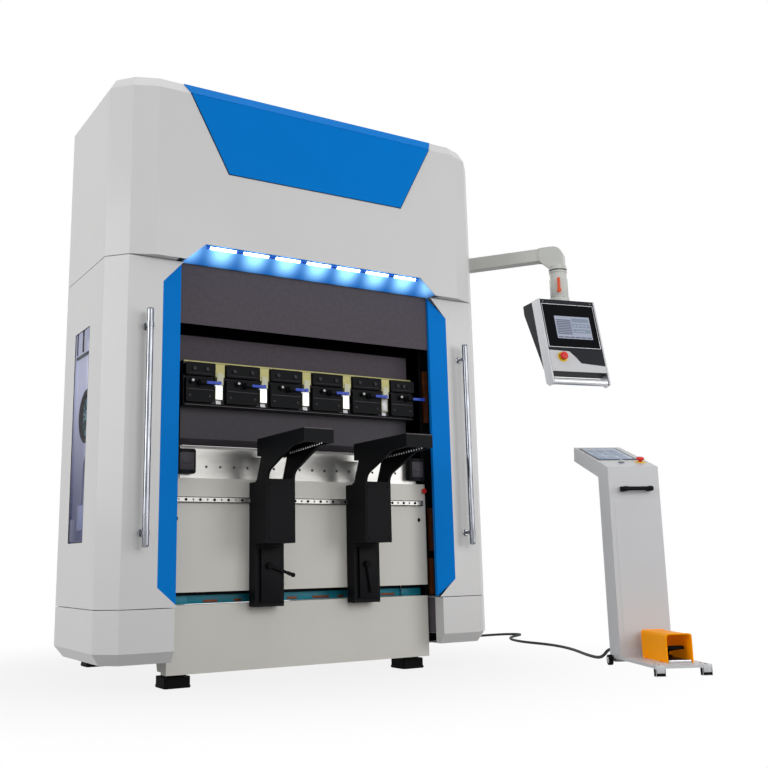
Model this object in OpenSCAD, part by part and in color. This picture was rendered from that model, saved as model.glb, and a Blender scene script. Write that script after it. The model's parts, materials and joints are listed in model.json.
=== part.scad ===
// Electric press brake with its pendant and its pedestal console.
// Millimetres, +Z up, the front faces -Y. The origin is on the floor, midway between the four feet.
// Inside the modules Y is counted from the plane of the doors' front faces.

/* [Covers] */
// Half the width of the opening between the doors
opening_half = 600; // [560:1:640]
// Width of each side cover
cover_w = 295; // [270:1:330]
// Width of the corner facets
facet_w = 72; // [60:1:90]
// How far back the side covers reach
cover_depth = 600; // [560:1:660]
// Depth of the corner facets
facet_depth = 78; // [60:1:95]
// Thickness of the cover sheets
sheet_t = 3; // [2:0.5:4]
// Width of the folded rims that stiffen the covers
rim_w = 40; // [32:1:44]
// Height of the seam between leg covers and doors
leg_top = 302; // [280:1:320]
// Height of the leg covers' undersides
leg_bottom = 107; // [90:1:120]
// Height of the bevel round the leg covers' undersides
leg_bevel = 42; // [25:1:55]
// How far the leg covers stand off the opening
leg_inset = 12; // [6:1:25]
// Height of the hood's lower edge
hood_bottom = 1643; // [1620:1:1660]
// Overall height
total_h = 2397; // [2380:1:2450]
// Room between the frame's top and the hood's
top_room = 237; // [200:1:280]
// How far the hood's front stands out over the doors
hood_proud = 37.5; // [25:0.5:45]
// Width of the hood's slanted front corners
hood_corner_w = 96; // [70:1:120]
// Height of the bevel round the hood's top
hood_bevel = 48; // [30:1:60]
// How far that bevel leans in
hood_lean = 28; // [15:1:40]

/* [Opening trim and lamps] */
// Width of the blue trim on each door
trim_w = 82; // [60:1:95]
// How far the trim's inner edge lies back
trim_in = 23; // [15:1:28]
// Height of the trim's lower outer corner
trim_low = 378; // [350:1:420]
// Height of the trim's upper outer corner
trim_high = 1550; // [1500:1:1580]
// How far the cut-out's slanted ends reach in
cut_inset = 80; // [60:1:100]
// Height of the cut-out's upper edge
cut_top = 1715; // [1700:1:1730]
// Number of lamps under that edge
lamp_count = 7; // [5:1:8]
// Length of one lamp
lamp_len = 112; // [80:1:120]

/* [Header panel] */
// Height of the panel
header_h = 366; // [330:1:400]
// Half its width along the lower edge
header_low_half = 421; // [380:1:450]
// Half its width along the top edge
header_top_half = 616; // [560:1:640]
// Thickness of the panel
header_t = 4; // [3:0.5:8]

/* [Doors] */
// Gap above and below the doors
door_gap = 3; // [2:0.5:5]
// Thickness of the doors' end plates, which the pivots pass through
door_end_t = 6; // [5:0.5:10]
// Radius of the pivot pins
pivot_r = 8; // [6:0.5:10]
// Distance of the pivots from the cover's rear corner
pivot_inset = 20; // [16:1:24]
// Length of the door handles
handle_len = 891; // [600:1:1000]
// Radius of the handle bars
handle_r = 12.5; // [9:0.5:15]
// How far the bars stand out from the door
handle_out = 48; // [35:1:60]
// Distance of the handles from the opening
handle_off = 148; // [130:1:165]
// Height of the handles' lower ends
handle_low = 529; // [450:1:600]
// Lower edge of the side windows
window_low = 550; // [500:1:700]
// Height of the side windows
window_h = 850; // [600:1:950]
// Front edge of the side windows
window_front = 250; // [180:1:280]
// Width of the side windows
window_w = 200; // [120:1:260]

/* [Frame] */
// Thickness of the two side frames
frame_t = 60; // [50:1:70]
// Distance of the side frames' inner faces from the opening's edge
frame_inset = 88; // [80:1:95]
// Depth of the side frames
frame_depth = 1090; // [1000:1:1200]
// Depth of the throat
throat_depth = 400; // [300:1:450]
// Height of the throat
throat_h = 406; // [380:1:420]
// Height of the levelling feet
foot_h = 52; // [45:1:60]
// Side of the square foot pads
foot_w = 105; // [90:1:120]
// Height of the hollow under the frame between its feet
arch_h = 108; // [80:1:125]
// Distance of the rear feet's middle from the frame's back
foot_inset = 40; // [30:1:80]
// Radius of the anchor bolt holes in the feet
anchor_r = 9; // [7:0.5:12]

/* [Bed and tooling] */
// How far bed and base plate reach past the opening on each side
bed_over = 3; // [0:0.5:8]
// Front face of the bed plate
bed_front = 100; // [96:1:104]
// Thickness of the bed plate
bed_t = 60; // [50:1:65]
// Lower edge of the bed plate
bed_low = 355; // [340:1:400]
// Top of the bed plate
bed_top = 794; // [780:1:805]
// Top of the base plate
base_top = 307.5; // [280:0.5:320]
// Height of the table beam on the bed
table_h = 91; // [80:1:100]
// Distance of the table beam's ends from the opening's edge
table_inset = 40; // [25:1:60]
// Height of the die
die_h = 43; // [35:1:50]
// Distance of the tools' ends from the opening's edge
tool_inset = 55; // [50:1:140]
// Depth of the tools' middle behind the bed's front
tool_depth = 68; // [62:1:72]
// Width of the die's vee
vee_w = 16; // [8:1:24]
// Gap between punch tip and die top with the ram down
tool_gap = 3; // [2:0.5:10]
// Height of the punch
punch_h = 152; // [130:1:160]

/* [Ram] */
// Distance of the ram's ends from the opening's edge
ram_inset = 45; // [40:1:80]
// How far the ram's front lies behind the bed's
ram_setback = 50; // [40:1:60]
// Thickness of the ram
ram_t = 60; // [50:1:62]
// Distance from the ram's top to the frame's
crown_room = 260; // [250:1:280]
// Height of the tool holder under the ram
holder_h = 186; // [180:1:200]
// Thickness of the tool holder
holder_t = 72; // [66:1:80]
// Stroke of the ram
stroke = 150; // [80:1:160]
// Radius of the ball screws
screw_r = 20; // [16:0.5:25]
// Distance of each ball screw from the middle
screw_x = 330; // [250:1:380]
// Running gap between moving and fixed faces
run_gap = 0.3; // [0.2:0.05:0.5]

/* [Clamps] */
// Number of tool clamps
clamp_count = 6; // [4:1:6]
// Distance of the outer clamps' middles from the opening's edge
clamp_inset = 100; // [96:1:130]
// Gap between neighbouring clamps
clamp_gap = 50; // [40:1:70]
// Thickness of the clamps
clamp_t = 30; // [22:1:34]
// Length of the clamp levers
lever_len = 78; // [60:1:80]

/* [Support arms] */
// Width of a support arm
arm_w = 126; // [110:1:135]
// Left edge of the left arm
left_arm_x = -264; // [-300:1:-240]
// Left edge of the right arm
right_arm_x = 190; // [170:1:220]
// Top of the arms
arm_top = 950; // [930:1:965]
// How far the arms reach out in front of the doors
arm_reach = 374; // [280:1:420]
// Middle height of the front rail
rail_z = 709; // [700:1:718]
// Height of the front rail
rail_h = 22; // [18:1:26]
// Thickness of the front rail
rail_t = 12; // [10:1:14]
// Distance of the front rail's ends from the opening's edge
rail_inset = 15; // [10:1:25]

/* [Back gauge] */
// Distance of the back gauge's guide rails from the side frames
gauge_rail_inset = 112; // [90:1:130]
// Gap between the gauge beam's ends and the side frames
gauge_side_gap = 42; // [30:1:60]
// Place of the gauge beam behind the doors' plane
gauge_y = 620; // [580:1:660]
// Length of a gauge finger
finger_len = 180; // [140:1:185]

/* [Pendant] */
// Height of the pendant arm
pendant_z = 1920; // [1900:1:1940]
// Length of the arm from pivot to elbow
pendant_arm_len = 572; // [540:1:620]
// Width of the arm tube
pendant_tube = 60; // [50:1:64]
// Width of the pendant
pendant_w = 303; // [280:1:330]
// Height of its front
pendant_h = 376; // [340:1:390]
// Depth of its case at the top
pendant_depth = 156; // [120:1:160]
// Tilt of its front
pendant_tilt = 13; // [5:1:20]

/* [Console] */
// Width of the console's column
console_w = 230; // [200:1:260]
// Depth of the console's column
console_d = 126; // [110:1:160]
// Height of the column's front edge
console_h = 850; // [800:1:900]
// Length of the console's head
head_len = 436; // [380:1:460]
// Height of the head's rear edge
head_top = 985; // [940:1:1020]
// Top of the console's base plate
console_base_z = 42; // [40:1:50]
// How far the base plate reaches in front of the column
console_base_reach = 368; // [345:1:400]
// Radius of the console's wheels
wheel_r = 22; // [19:0.5:24]
// Length of the pedal guard
guard_len = 250; // [230:1:270]
// Width of the pedal guard
guard_w = 106; // [98:1:116]
// Height of the pedal guard
guard_h = 111; // [104:1:120]

/* [Cable] */
// Diameter of the control cable
cable_d = 14; // [10:1:16]

/* [Hidden] */
$fn = 48;
eps = 0.01;

cover_half = opening_half + cover_w;
front_half = cover_half - facet_w;
leg_inner = opening_half + leg_inset;
hood_flat_half = front_half - hood_corner_w;
cut_half = opening_half - cut_inset;
header_low = total_h - header_h;
handle_x = opening_half + handle_off;
frame_in = opening_half - frame_inset;
frame_top = total_h - top_room;
bed_half = opening_half + bed_over;
table_half = opening_half - table_inset;
tool_half = opening_half - tool_inset;
holder_half = tool_half + 5;
ram_half = opening_half - ram_inset;
rail_half = opening_half - rail_inset;
gauge_rail_x = frame_in - gauge_rail_inset;
gauge_beam_half = frame_in - gauge_side_gap;
clamp_pitch = 2 * (opening_half - clamp_inset) / (clamp_count - 1);
clamp_w = clamp_pitch - clamp_gap;

foot_front = bed_front + bed_t + 30;
foot_span = frame_depth - foot_inset - 30;
origin_y = foot_front + foot_span / 2;
frame_front = bed_front + bed_t;
frame_mid = frame_in + frame_t / 2;
arch_front = foot_front + foot_w / 2 + 42;
arch_back = foot_front + foot_span - foot_w / 2 - 42;
frame_out = frame_in + frame_t;

table_top = bed_top + table_h;
tool_y = bed_front + tool_depth;
die_top = table_top + die_h;
punch_tip = die_top + tool_gap;
holder_low = punch_tip + punch_h;
ram_bottom = holder_low + holder_h;
ram_top = frame_top - crown_room;
ram_front = bed_front + ram_setback;
ram_back = ram_front + ram_t;
upper_front = ram_back + 5;
crown_depth = 600;
back_drop = 560;
holder_front = bed_front + 12;

facet_a = atan2(facet_depth, cover_half - front_half);
door_low = leg_top + door_gap;
door_high = hood_bottom - door_gap;
pivot_x = cover_half - pivot_inset;
pivot_y = cover_depth - pivot_inset;
pin_reach = door_gap + door_end_t + 12;
shaft_gap = 0.08;

crown_low = ram_top + stroke - 90;
crown_y0 = ram_back + 20;
screw_y = ram_back + 50;
crown_h = frame_top - crown_low;
plate_t = 15;
pulley_h = 40;
motor_y = screw_y + 245;
rail_grip = 22;

arm_angle = -54;
arm_off = 60.8;
pivot = [cover_half + arm_off, 352.8];
elbow = pivot + pendant_arm_len * [cos(arm_angle), sin(arm_angle)];
pendant_yaw = -12.6;
coupling_r = 40;
coupling_low = 1670;
swivel_z = 1835;
swivel_r = 15;
spigot_h = 25;
pendant_lever_z = 1722;
lever_yaw = pendant_yaw - 30;
push_r = 8;

console_at = [1244, -396, 0];
console_yaw = -25;
head_angle = atan2(head_top - console_h, head_len);
wheel_reach = 22;
axle_r = 5;

// Direction out of the console's rear face, and the cable's two end points
console_back = [-sin(console_yaw), cos(console_yaw), 0];
console_side = [cos(console_yaw), sin(console_yaw), 0];
gland_len = 14;
leg_gland = [leg_inner + 148, cover_depth + gland_len, 180];
console_gland = console_at + 42 * console_side + (console_d + gland_len) * console_back + [0, 0, 64];

// Route of the control cable over the floor, from the right leg to the console
cable_z = cable_d / 2 + 0.2;
cable_route = [
  leg_gland, leg_gland + [0, 40, -4], leg_gland + [2, 80, -22], leg_gland + [8, 116, -56],
  leg_gland + [18, 146, -98], leg_gland + [32, 178, -138], [812, 836, 20],
  [846, 880, cable_z], [900, 930, cable_z], [1010, 1010, cable_z], [1160, 1095, cable_z],
  [1330, 1180, cable_z], [1510, 1250, cable_z], [1690, 1300, cable_z], [1850, 1325, cable_z],
  [1975, 1325, cable_z], [2050, 1300, cable_z], [2080, 1255, cable_z], [2050, 1212, cable_z],
  [1985, 1170, cable_z], [1900, 1110, cable_z], [1820, 1020, cable_z], [1765, 910, cable_z],
  [1735, 790, cable_z], [1728, 670, cable_z], [1712, 550, cable_z], [1675, 430, cable_z],
  [1622, 310, cable_z], [1560, 195, cable_z], [1498, 90, cable_z], [1450, 0, cable_z],
  [1422, -70, cable_z], [1402, -120, 14], [1386, -160, 30], [1372, -196, 49],
  console_gland + 40 * console_back + [0, 0, -3], console_gland
];

// --- shared shapes ---------------------------------------------------------------------------

// Moves the press from the doors' plane to the origin between the feet
module placed() {
  translate([0, -origin_y, 0]) children();
}

// Builds at +X and mirrors it to the left for side = -1
module on_side(side) {
  mirror([side < 0 ? 1 : 0, 0, 0]) children();
}

// Box between two corners given per axis
module block(x, y, z) {
  translate([x[0], y[0], z[0]]) cube([x[1] - x[0], y[1] - y[0], z[1] - z[0]]);
}

// Plate with its outline in Y and Z, from x0 along +X
module yz_plate(x0, t) {
  translate([x0, 0, 0]) rotate([90, 0, 90]) linear_extrude(t) children();
}

// Plate with its outline in X and Z, from y0 along +Y
module xz_plate(y0, t) {
  translate([0, y0 + t, 0]) rotate([90, 0, 0]) linear_extrude(t) children();
}

// Cylinder along Y that starts at y0
module y_rod(r, x, y0, y1, z) {
  translate([x, y0, z]) rotate([-90, 0, 0]) cylinder(r = r, h = y1 - y0);
}

// Cylinder along X that starts at x0
module x_rod(r, x0, x1, y, z) {
  translate([x0, y, z]) rotate([0, 90, 0]) cylinder(r = r, h = x1 - x0);
}

// Rounded rectangle with true arcs
module rounded(w, h, r) {
  translate([r, 0]) square([w - 2 * r, h]);
  translate([0, r]) square([w, h - 2 * r]);
  for (x = [r, w - r], y = [r, h - r]) translate([x, y]) circle(r);
}

// Outer corners of a right-hand cover, moved in by t
function facet_x(t) = front_half - t * tan(facet_a / 2);
function facet_y(t) = (t + (cover_half - front_half - t) * sin(facet_a)) / cos(facet_a);

// Plan of a cover's bent sheet of thickness t, starting at x_in
function wall_plan(x_in, t) = [
  [x_in, 0], [front_half, 0], [cover_half, facet_depth], [cover_half, cover_depth],
  [cover_half - t, cover_depth], [cover_half - t, facet_y(t)], [facet_x(t), t], [x_in, t]
];

// Closed plan of a right-hand cover, moved in by t on its outer sides
function full_plan(x_in, t) = [
  [x_in, t], [facet_x(t), t], [cover_half - t, facet_y(t)],
  [cover_half - t, cover_depth - t], [x_in, cover_depth - t]
];

// --- frame -----------------------------------------------------------------------------------

module throat_outline() {
  r = 70;
  translate([frame_front - r, bed_top]) rounded(throat_depth + r, throat_h, r);
}

module frame_outline() {
  back = frame_front + frame_depth;
  difference() {
    polygon([
      [frame_front, foot_h], [frame_front, bed_top + 1], [upper_front, bed_top + 1], [upper_front, frame_top],
      [frame_front + crown_depth, frame_top], [back, frame_top - back_drop], [back, foot_h],
      [arch_back, foot_h], [arch_back - 40, foot_h + arch_h], [arch_front + 40, foot_h + arch_h],
      [arch_front, foot_h]
    ]);
    throat_outline();
  }
}

module ram_rail() {
  block([frame_in - rail_grip, frame_in], [screw_y - 12, screw_y + 12], [ram_bottom - 36, crown_low]);
}

module side_frames() {
  color("gainsboro") placed() for (side = [-1, 1]) on_side(side) {
    yz_plate(frame_in, frame_t) frame_outline();
    ram_rail();
  }
}

module cross_beams() {
  back = frame_front + frame_depth;
  color("silver") placed() {
    difference() {
      union() {
        block([-frame_in, frame_in], [crown_y0, crown_y0 + 130], [crown_low, frame_top]);
        block([-frame_out, frame_out], [upper_front + 10, motor_y + 85], [frame_top, frame_top + plate_t]);
      }
      for (x = [-screw_x, screw_x]) {
        translate([x, screw_y, crown_low - 1]) cylinder(r = screw_r + shaft_gap, h = crown_h + plate_t + 2);
      }
    }
    block([-frame_in, frame_in], [back - 130, back - 10], [foot_h + 8, foot_h + 128]);
    block([-frame_in, frame_in], [back - 110, back - 10], [1380, 1480]);
  }
}

module levelling_foot() {
  pad_h = foot_h - 10;
  difference() {
    union() {
      translate([-foot_w / 2, -foot_w / 2, 0]) linear_extrude(pad_h) rounded(foot_w, foot_w, 10);
      translate([-35, -35, pad_h]) cube([70, 70, 10]);
    }
    translate([0, 0, -1]) cylinder(r = anchor_r, h = foot_h + 2);
  }
}

module levelling_feet() {
  color([0.1, 0.1, 0.1]) placed() for (x = [-frame_mid, frame_mid], y = [0, foot_span]) {
    translate([x, foot_front + y, 0]) levelling_foot();
  }
}

module base_plate() {
  color("lightgray") placed() {
    block([-bed_half, bed_half], [bed_front + 4, frame_front], [foot_h, base_top]);
  }
}

module bed_plate() {
  color("lightgray") placed() difference() {
    block([-bed_half, bed_half], [bed_front, frame_front], [bed_low, bed_top]);
    for (x = [-bed_half + 28, bed_half - 35]) y_rod(9, x, bed_front - 1, bed_front + 20, bed_top - 158);
  }
}

module table_beam() {
  color("silver") placed() difference() {
    block([-table_half, table_half], [bed_front + 5, frame_front + 50], [bed_top, table_top]);
    for (x = [-table_half + 50:60:table_half - 40]) {
      y_rod(4, x, bed_front, bed_front + 25, bed_top + 46);
    }
  }
}

module die() {
  color("gainsboro") placed() yz_plate(-tool_half, 2 * tool_half) polygon([
    [tool_y - 22, table_top], [tool_y - 22, die_top - 12], [tool_y - 14, die_top],
    [tool_y - vee_w / 2, die_top], [tool_y, die_top - vee_w * 0.6], [tool_y + vee_w / 2, die_top],
    [tool_y + 14, die_top], [tool_y + 22, die_top - 12], [tool_y + 22, table_top]
  ]);
}

module end_blocks() {
  front = bed_front - 30;
  color([0.09, 0.09, 0.1]) placed() for (side = [-1, 1]) on_side(side) {
    xz_plate(front, 35) translate([opening_half - 92, bed_top + 14]) rounded(76, 98, 10);
  }
}

module front_rail() {
  color("dimgray") placed() difference() {
    block([-rail_half, rail_half], [bed_front - rail_t, bed_front],
      [rail_z - rail_h / 2, rail_z + rail_h / 2]);
    for (x = [-rail_half + 15:60:rail_half - 15]) {
      y_rod(4.5, x, bed_front - rail_t - 1, bed_front - 4, rail_z);
    }
  }
}

// --- drive -----------------------------------------------------------------------------------

screw_pulley_r = 70;
motor_pulley_r = 36;
pulley_z = frame_top + plate_t + 14;

module drive_unit() {
  belt_gap = 1;
  color([0.12, 0.12, 0.13]) {
    block([screw_x - 62, screw_x + 62], [motor_y - 62, motor_y + 62], [frame_top - 210, frame_top]);
    translate([screw_x, motor_y, frame_top - 330]) cylinder(r = 52, h = 120);
  }
  color("silver") {
    translate([screw_x, motor_y, frame_top + plate_t]) cylinder(r = motor_pulley_r, h = 14 + pulley_h);
  }
  color([0.15, 0.15, 0.15]) translate([screw_x, 0, pulley_z + 5]) linear_extrude(pulley_h - 10) difference() {
    hull() {
      translate([0, screw_y]) circle(screw_pulley_r + belt_gap + 4);
      translate([0, motor_y]) circle(motor_pulley_r + belt_gap + 4);
    }
    hull() {
      translate([0, screw_y]) circle(screw_pulley_r + belt_gap);
      translate([0, motor_y]) circle(motor_pulley_r + belt_gap);
    }
  }
}

module drive_units() {
  placed() for (side = [-1, 1]) on_side(side) drive_unit();
}

module ball_screw(side) {
  low = ram_bottom + 190;
  color("silver") placed() translate([side * screw_x, screw_y, 0]) {
    translate([0, 0, low]) cylinder(r = screw_r, h = pulley_z + pulley_h - low);
    translate([0, 0, frame_top + plate_t + run_gap]) cylinder(r = screw_r + 12, h = 8);
    translate([0, 0, pulley_z]) cylinder(r = screw_pulley_r, h = pulley_h);
  }
}

// --- back gauge ------------------------------------------------------------------------------

gauge_rail_z = 660;
gauge_rail_top = gauge_rail_z + 18;
gauge_beam_low = gauge_rail_top + 22;
gauge_beam_h = 80;
gauge_back = 1070;

module gauge_base() {
  color("silver") placed() {
    for (y = [260, gauge_back - 70]) {
      block([-frame_in, frame_in], [y, y + 60], [gauge_rail_z - 60, gauge_rail_z]);
    }
    for (x = [-gauge_rail_x, gauge_rail_x]) {
      block([x - 10, x + 10], [250, gauge_back], [gauge_rail_z, gauge_rail_top]);
    }
    for (y = [262, gauge_back - 68]) {
      block([-30, 30], [y, y + 40], [gauge_rail_z, gauge_rail_top + 8]);
    }
    y_rod(8, 0, 302, gauge_back - 68, gauge_rail_z + 12);
  }
  color([0.12, 0.12, 0.13]) placed() {
    block([-42, 42], [gauge_back - 10, gauge_back + 100], [gauge_rail_z - 40, gauge_rail_z + 44]);
  }
}

module gauge_beam() {
  y0 = gauge_y;
  half = gauge_beam_half;
  top = gauge_beam_low + gauge_beam_h;
  color("dimgray") placed() difference() {
    union() {
      block([-half, half], [y0 - 35, y0 + 35], [gauge_beam_low, top]);
      block([-half + 20, half - 20], [y0 - 10, y0 + 10], [top, top + 14]);
      for (x = [-gauge_rail_x, gauge_rail_x]) {
        block([x - 38, x + 38], [y0 - 50, y0 + 50], [gauge_rail_z + 4, gauge_beam_low]);
      }
      block([-24, 24], [y0 - 30, y0 + 30], [gauge_rail_z + 1, gauge_beam_low]);
    }
    for (x = [-gauge_rail_x, gauge_rail_x]) {
      block([x - 10 - run_gap, x + 10 + run_gap], [y0 - 51, y0 + 51],
        [gauge_rail_z, gauge_rail_top + run_gap]);
    }
    y_rod(8 + shaft_gap, 0, y0 - 31, y0 + 31, gauge_rail_z + 12);
  }
}

module gauge_finger(x) {
  y0 = gauge_y;
  top = gauge_beam_low + gauge_beam_h;
  tongue_z = die_top + 6;
  color("silver") placed() translate([x, 0, 0]) {
    difference() {
      block([-35, 35], [y0 - 50, y0 + 34], [top + run_gap, top + 60]);
      block([-36, 36], [y0 - 10 - run_gap, y0 + 10 + run_gap], [top, top + 14 + run_gap]);
    }
    block([-20, 20], [y0 - 50, y0], [top + 60, tongue_z + 14]);
    block([-14, 14], [y0 - 50 - finger_len, y0 - 50], [tongue_z, tongue_z + 14]);
  }
}

// --- hood and covers -------------------------------------------------------------------------

// Plan of the hood, moved in by t all round
function hood_plan(t) = [
  [-hood_flat_half + t * 0.2, -hood_proud + t], [hood_flat_half - t * 0.2, -hood_proud + t],
  [facet_x(t), t * 0.9], [cover_half - t, facet_y(t)], [cover_half - t, cover_depth - t],
  [-cover_half + t, cover_depth - t], [-cover_half + t, facet_y(t)], [-facet_x(t), t * 0.9]
];

module hood_body(t, low) {
  hull() {
    translate([0, 0, low]) linear_extrude(total_h - hood_bevel - low - t * 0.5) polygon(hood_plan(t));
    translate([0, 0, total_h - 1 - t]) linear_extrude(1) polygon(hood_plan(hood_lean + t));
  }
}

// Cut-out over the opening, as an outline in X and Z
module hood_cut() {
  polygon([
    [-opening_half - 3, hood_bottom - 1], [-cut_half, cut_top], [cut_half, cut_top],
    [opening_half + 3, hood_bottom - 1]
  ]);
}

module pendant_bracket() {
  z0 = pendant_z - 50;
  lug = 15;
  block([cover_half, cover_half + 8], [pivot[1] - 60, pivot[1] + 60], [z0 - 20, z0 + 120]);
  for (z = [z0, z0 + 100 - lug]) {
    block([cover_half + 8, pivot[0]], [pivot[1] - 32, pivot[1] + 32], [z, z + lug]);
    translate([pivot[0], pivot[1], z]) cylinder(r = 32, h = lug);
  }
  translate([pivot[0], pivot[1], z0]) cylinder(r = 12, h = 100);
}

module hood() {
  carrier = 40;
  carrier_z = hood_bottom + 117;
  color([0.8, 0.8, 0.78]) placed() {
    difference() {
      union() {
        difference() {
          hood_body(0, hood_bottom);
          hood_body(sheet_t, hood_bottom - 1);
          block([-frame_out - 60, frame_out + 60], [cover_depth - 5, cover_depth + 1],
            [hood_bottom - 1, frame_top + plate_t + 75]);
        }
        for (side = [-1, 1]) on_side(side) {
          translate([0, 0, hood_bottom]) linear_extrude(sheet_t) polygon(wall_plan(opening_half + 30, rim_w));
          translate([0, 0, hood_bottom]) linear_extrude(sheet_t) polygon([
            [opening_half + 30, -hood_proud + 1], [hood_flat_half, -hood_proud + 1], [front_half, 1],
            [opening_half + 30, 1]
          ]);
          pivot_pin(hood_bottom - pin_reach, hood_bottom + 1, hood_bottom - door_gap + run_gap);
          for (y = [180, cover_depth - 100]) {
            block([frame_out, cover_half - sheet_t], [y, y + carrier], [carrier_z, carrier_z + carrier]);
          }
        }
      }
      xz_plate(-hood_proud - 1, hood_proud + 40) hood_cut();
    }
    pendant_bracket();
  }
}

module header_panel() {
  front_top = total_h - hood_bevel;
  lean_len = norm([hood_lean, hood_bevel]);
  knee_half = header_low_half
    + (header_top_half - header_low_half) * (front_top - header_low) / (total_h - header_low);
  color([0.0, 0.42, 0.76]) placed() {
    xz_plate(-hood_proud - header_t, header_t) polygon([
      [-header_low_half, header_low], [header_low_half, header_low],
      [knee_half, front_top], [-knee_half, front_top]
    ]);
    translate([0, -hood_proud - 0.1, front_top]) rotate([atan2(hood_bevel, hood_lean) - 90, 0, 0]) {
      rotate([90, 0, 0]) linear_extrude(header_t) polygon([
        [-knee_half, 0.2], [knee_half, 0.2], [header_top_half, lean_len - 2], [-header_top_half, lean_len - 2]
      ]);
    }
  }
}

// Sloped panel under the cut-out: top edge at the hood's front, lower edge set back by trim_in
module light_bar() {
  y_top = -hood_proud + sheet_t + 0.5;
  z_low = hood_bottom + 2;
  color([0.05, 0.5, 0.9]) placed() {
    intersection() {
      yz_plate(-opening_half, 2 * opening_half) polygon([
        [y_top, cut_top], [trim_in, z_low], [trim_in + 8, z_low], [trim_in + 8, cut_top + 4],
        [y_top, cut_top + 4]
      ]);
      xz_plate(-hood_proud, hood_proud + 60) polygon([
        [-opening_half, z_low - 1], [-cut_half, cut_top + 5],
        [cut_half, cut_top + 5], [opening_half, z_low - 1]
      ]);
    }
    for (side = [-1, 1]) on_side(side) {
      block([cut_half - 60, cut_half - 10], [-hood_proud + sheet_t, trim_in + 8], [cut_top + 4, cut_top + 8]);
      xz_plate(y_top, trim_in + 8 - y_top) polygon([
        [opening_half - 1, z_low - 1], [cut_half - 1, cut_top + 5],
        [cut_half + 2, cut_top + 5], [opening_half + 2, z_low - 1]
      ]);
    }
  }
}

function lamp_pitch() = 2 * (cut_half - 4) / lamp_count;

module lamps() {
  y_top = -hood_proud + sheet_t + 0.5;
  z_low = hood_bottom + 2;
  lean = atan2(trim_in - y_top, cut_top - z_low);
  color("white") placed() translate([0, y_top, cut_top]) rotate([lean, 0, 0]) {
    for (i = [0:lamp_count - 1]) {
      x = -cut_half + 4 + (i + 0.5) * lamp_pitch();
      block([x - lamp_len / 2, x + lamp_len / 2], [-5, 0], [-17, -6]);
    }
  }
}

module upper_cover() {
  y0 = trim_in + 12;
  low = ram_bottom + 131;
  color([0.25, 0.23, 0.24]) placed() {
    block([-opening_half + 2, opening_half - 2], [y0, y0 + sheet_t], [low, cut_top - 15]);
    for (side = [-1, 1]) on_side(side) {
      block([ram_half + 3, frame_out - 1], [y0 + sheet_t, upper_front], [low + 60, cut_top - 15]);
      block([frame_in + 1, opening_half - 2], [upper_front - 4, upper_front], [table_top + 8, low + 60]);
    }
  }
}

module leg_body(t) {
  knee = leg_bottom + leg_bevel;
  hull() {
    translate([0, 0, knee]) linear_extrude(leg_top - knee + (t > 0 ? 1 : 0)) {
      polygon(full_plan(leg_inner + t, t));
    }
    translate([0, 0, leg_bottom + t]) linear_extrude(1) polygon(full_plan(leg_inner + t, 30 + t));
  }
}

module pivot_pin(z0, z1, collar_z) {
  translate([pivot_x, pivot_y, z0]) cylinder(r = pivot_r, h = z1 - z0);
  translate([pivot_x, pivot_y, collar_z]) cylinder(r = pivot_r + 6, h = door_gap - run_gap);
}

module leg_cover() {
  knee = leg_bottom + leg_bevel;
  difference() {
    leg_body(0);
    leg_body(sheet_t);
    block([leg_inner - 1, leg_inner + sheet_t + 1], [rim_w + 20, cover_depth - rim_w], [leg_bottom - 1, knee]);
  }
  translate([0, 0, leg_top - sheet_t]) linear_extrude(sheet_t) polygon(wall_plan(leg_inner + 1, rim_w));
  for (y = [250, 470]) block([frame_out, leg_inner + 1], [y, y + 60], [180, 260]);
  pivot_pin(leg_top - 1, leg_top + pin_reach, leg_top);
}

module leg_covers() {
  color([0.8, 0.8, 0.79]) placed() for (side = [-1, 1]) on_side(side) leg_cover();
  color([0.1, 0.1, 0.1]) placed() y_rod(14, leg_gland[0], cover_depth - 1, leg_gland[1], leg_gland[2]);
}

// --- doors -----------------------------------------------------------------------------------

// Outline of the trim, in X and Z
module trim_outline() {
  polygon([
    [opening_half, door_low + 1], [opening_half + trim_w, trim_low],
    [opening_half + trim_w, trim_high], [opening_half, door_high - 1]
  ]);
}

module door(side) {
  color([0.8, 0.8, 0.79]) placed() on_side(side) difference() {
    union() {
      translate([0, 0, door_low]) linear_extrude(door_high - door_low) {
        polygon(wall_plan(opening_half, sheet_t));
      }
      for (z = [door_low, door_high - door_end_t]) {
        translate([0, 0, z]) linear_extrude(door_end_t) polygon(wall_plan(opening_half + trim_w + 4, rim_w));
      }
    }
    xz_plate(-1, sheet_t + 2) trim_outline();
    block([cover_half - rim_w, cover_half + 1], [window_front, window_front + window_w],
      [window_low, window_low + window_h]);
    translate([pivot_x, pivot_y, door_low - 1]) {
      cylinder(r = pivot_r + shaft_gap, h = door_high - door_low + 2);
    }
  }
}

module trim(side) {
  fold = trim_in + 16;
  color([0.0, 0.45, 0.78]) placed() on_side(side) intersection() {
    translate([0, 0, door_low]) linear_extrude(door_high - door_low) polygon([
      [opening_half, trim_in], [opening_half + trim_w, 0], [opening_half + trim_w, sheet_t],
      [opening_half + sheet_t, trim_in + sheet_t], [opening_half + sheet_t, fold], [opening_half, fold]
    ]);
    xz_plate(-1, fold + 2) trim_outline();
  }
}

module window(side) {
  lap = 12;
  color([0.5, 0.52, 0.6, 0.5]) placed() on_side(side) {
    block([cover_half - sheet_t - 4, cover_half - sheet_t],
      [window_front - lap, window_front + window_w + lap],
      [window_low - lap, window_low + window_h + lap]);
  }
}

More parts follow.
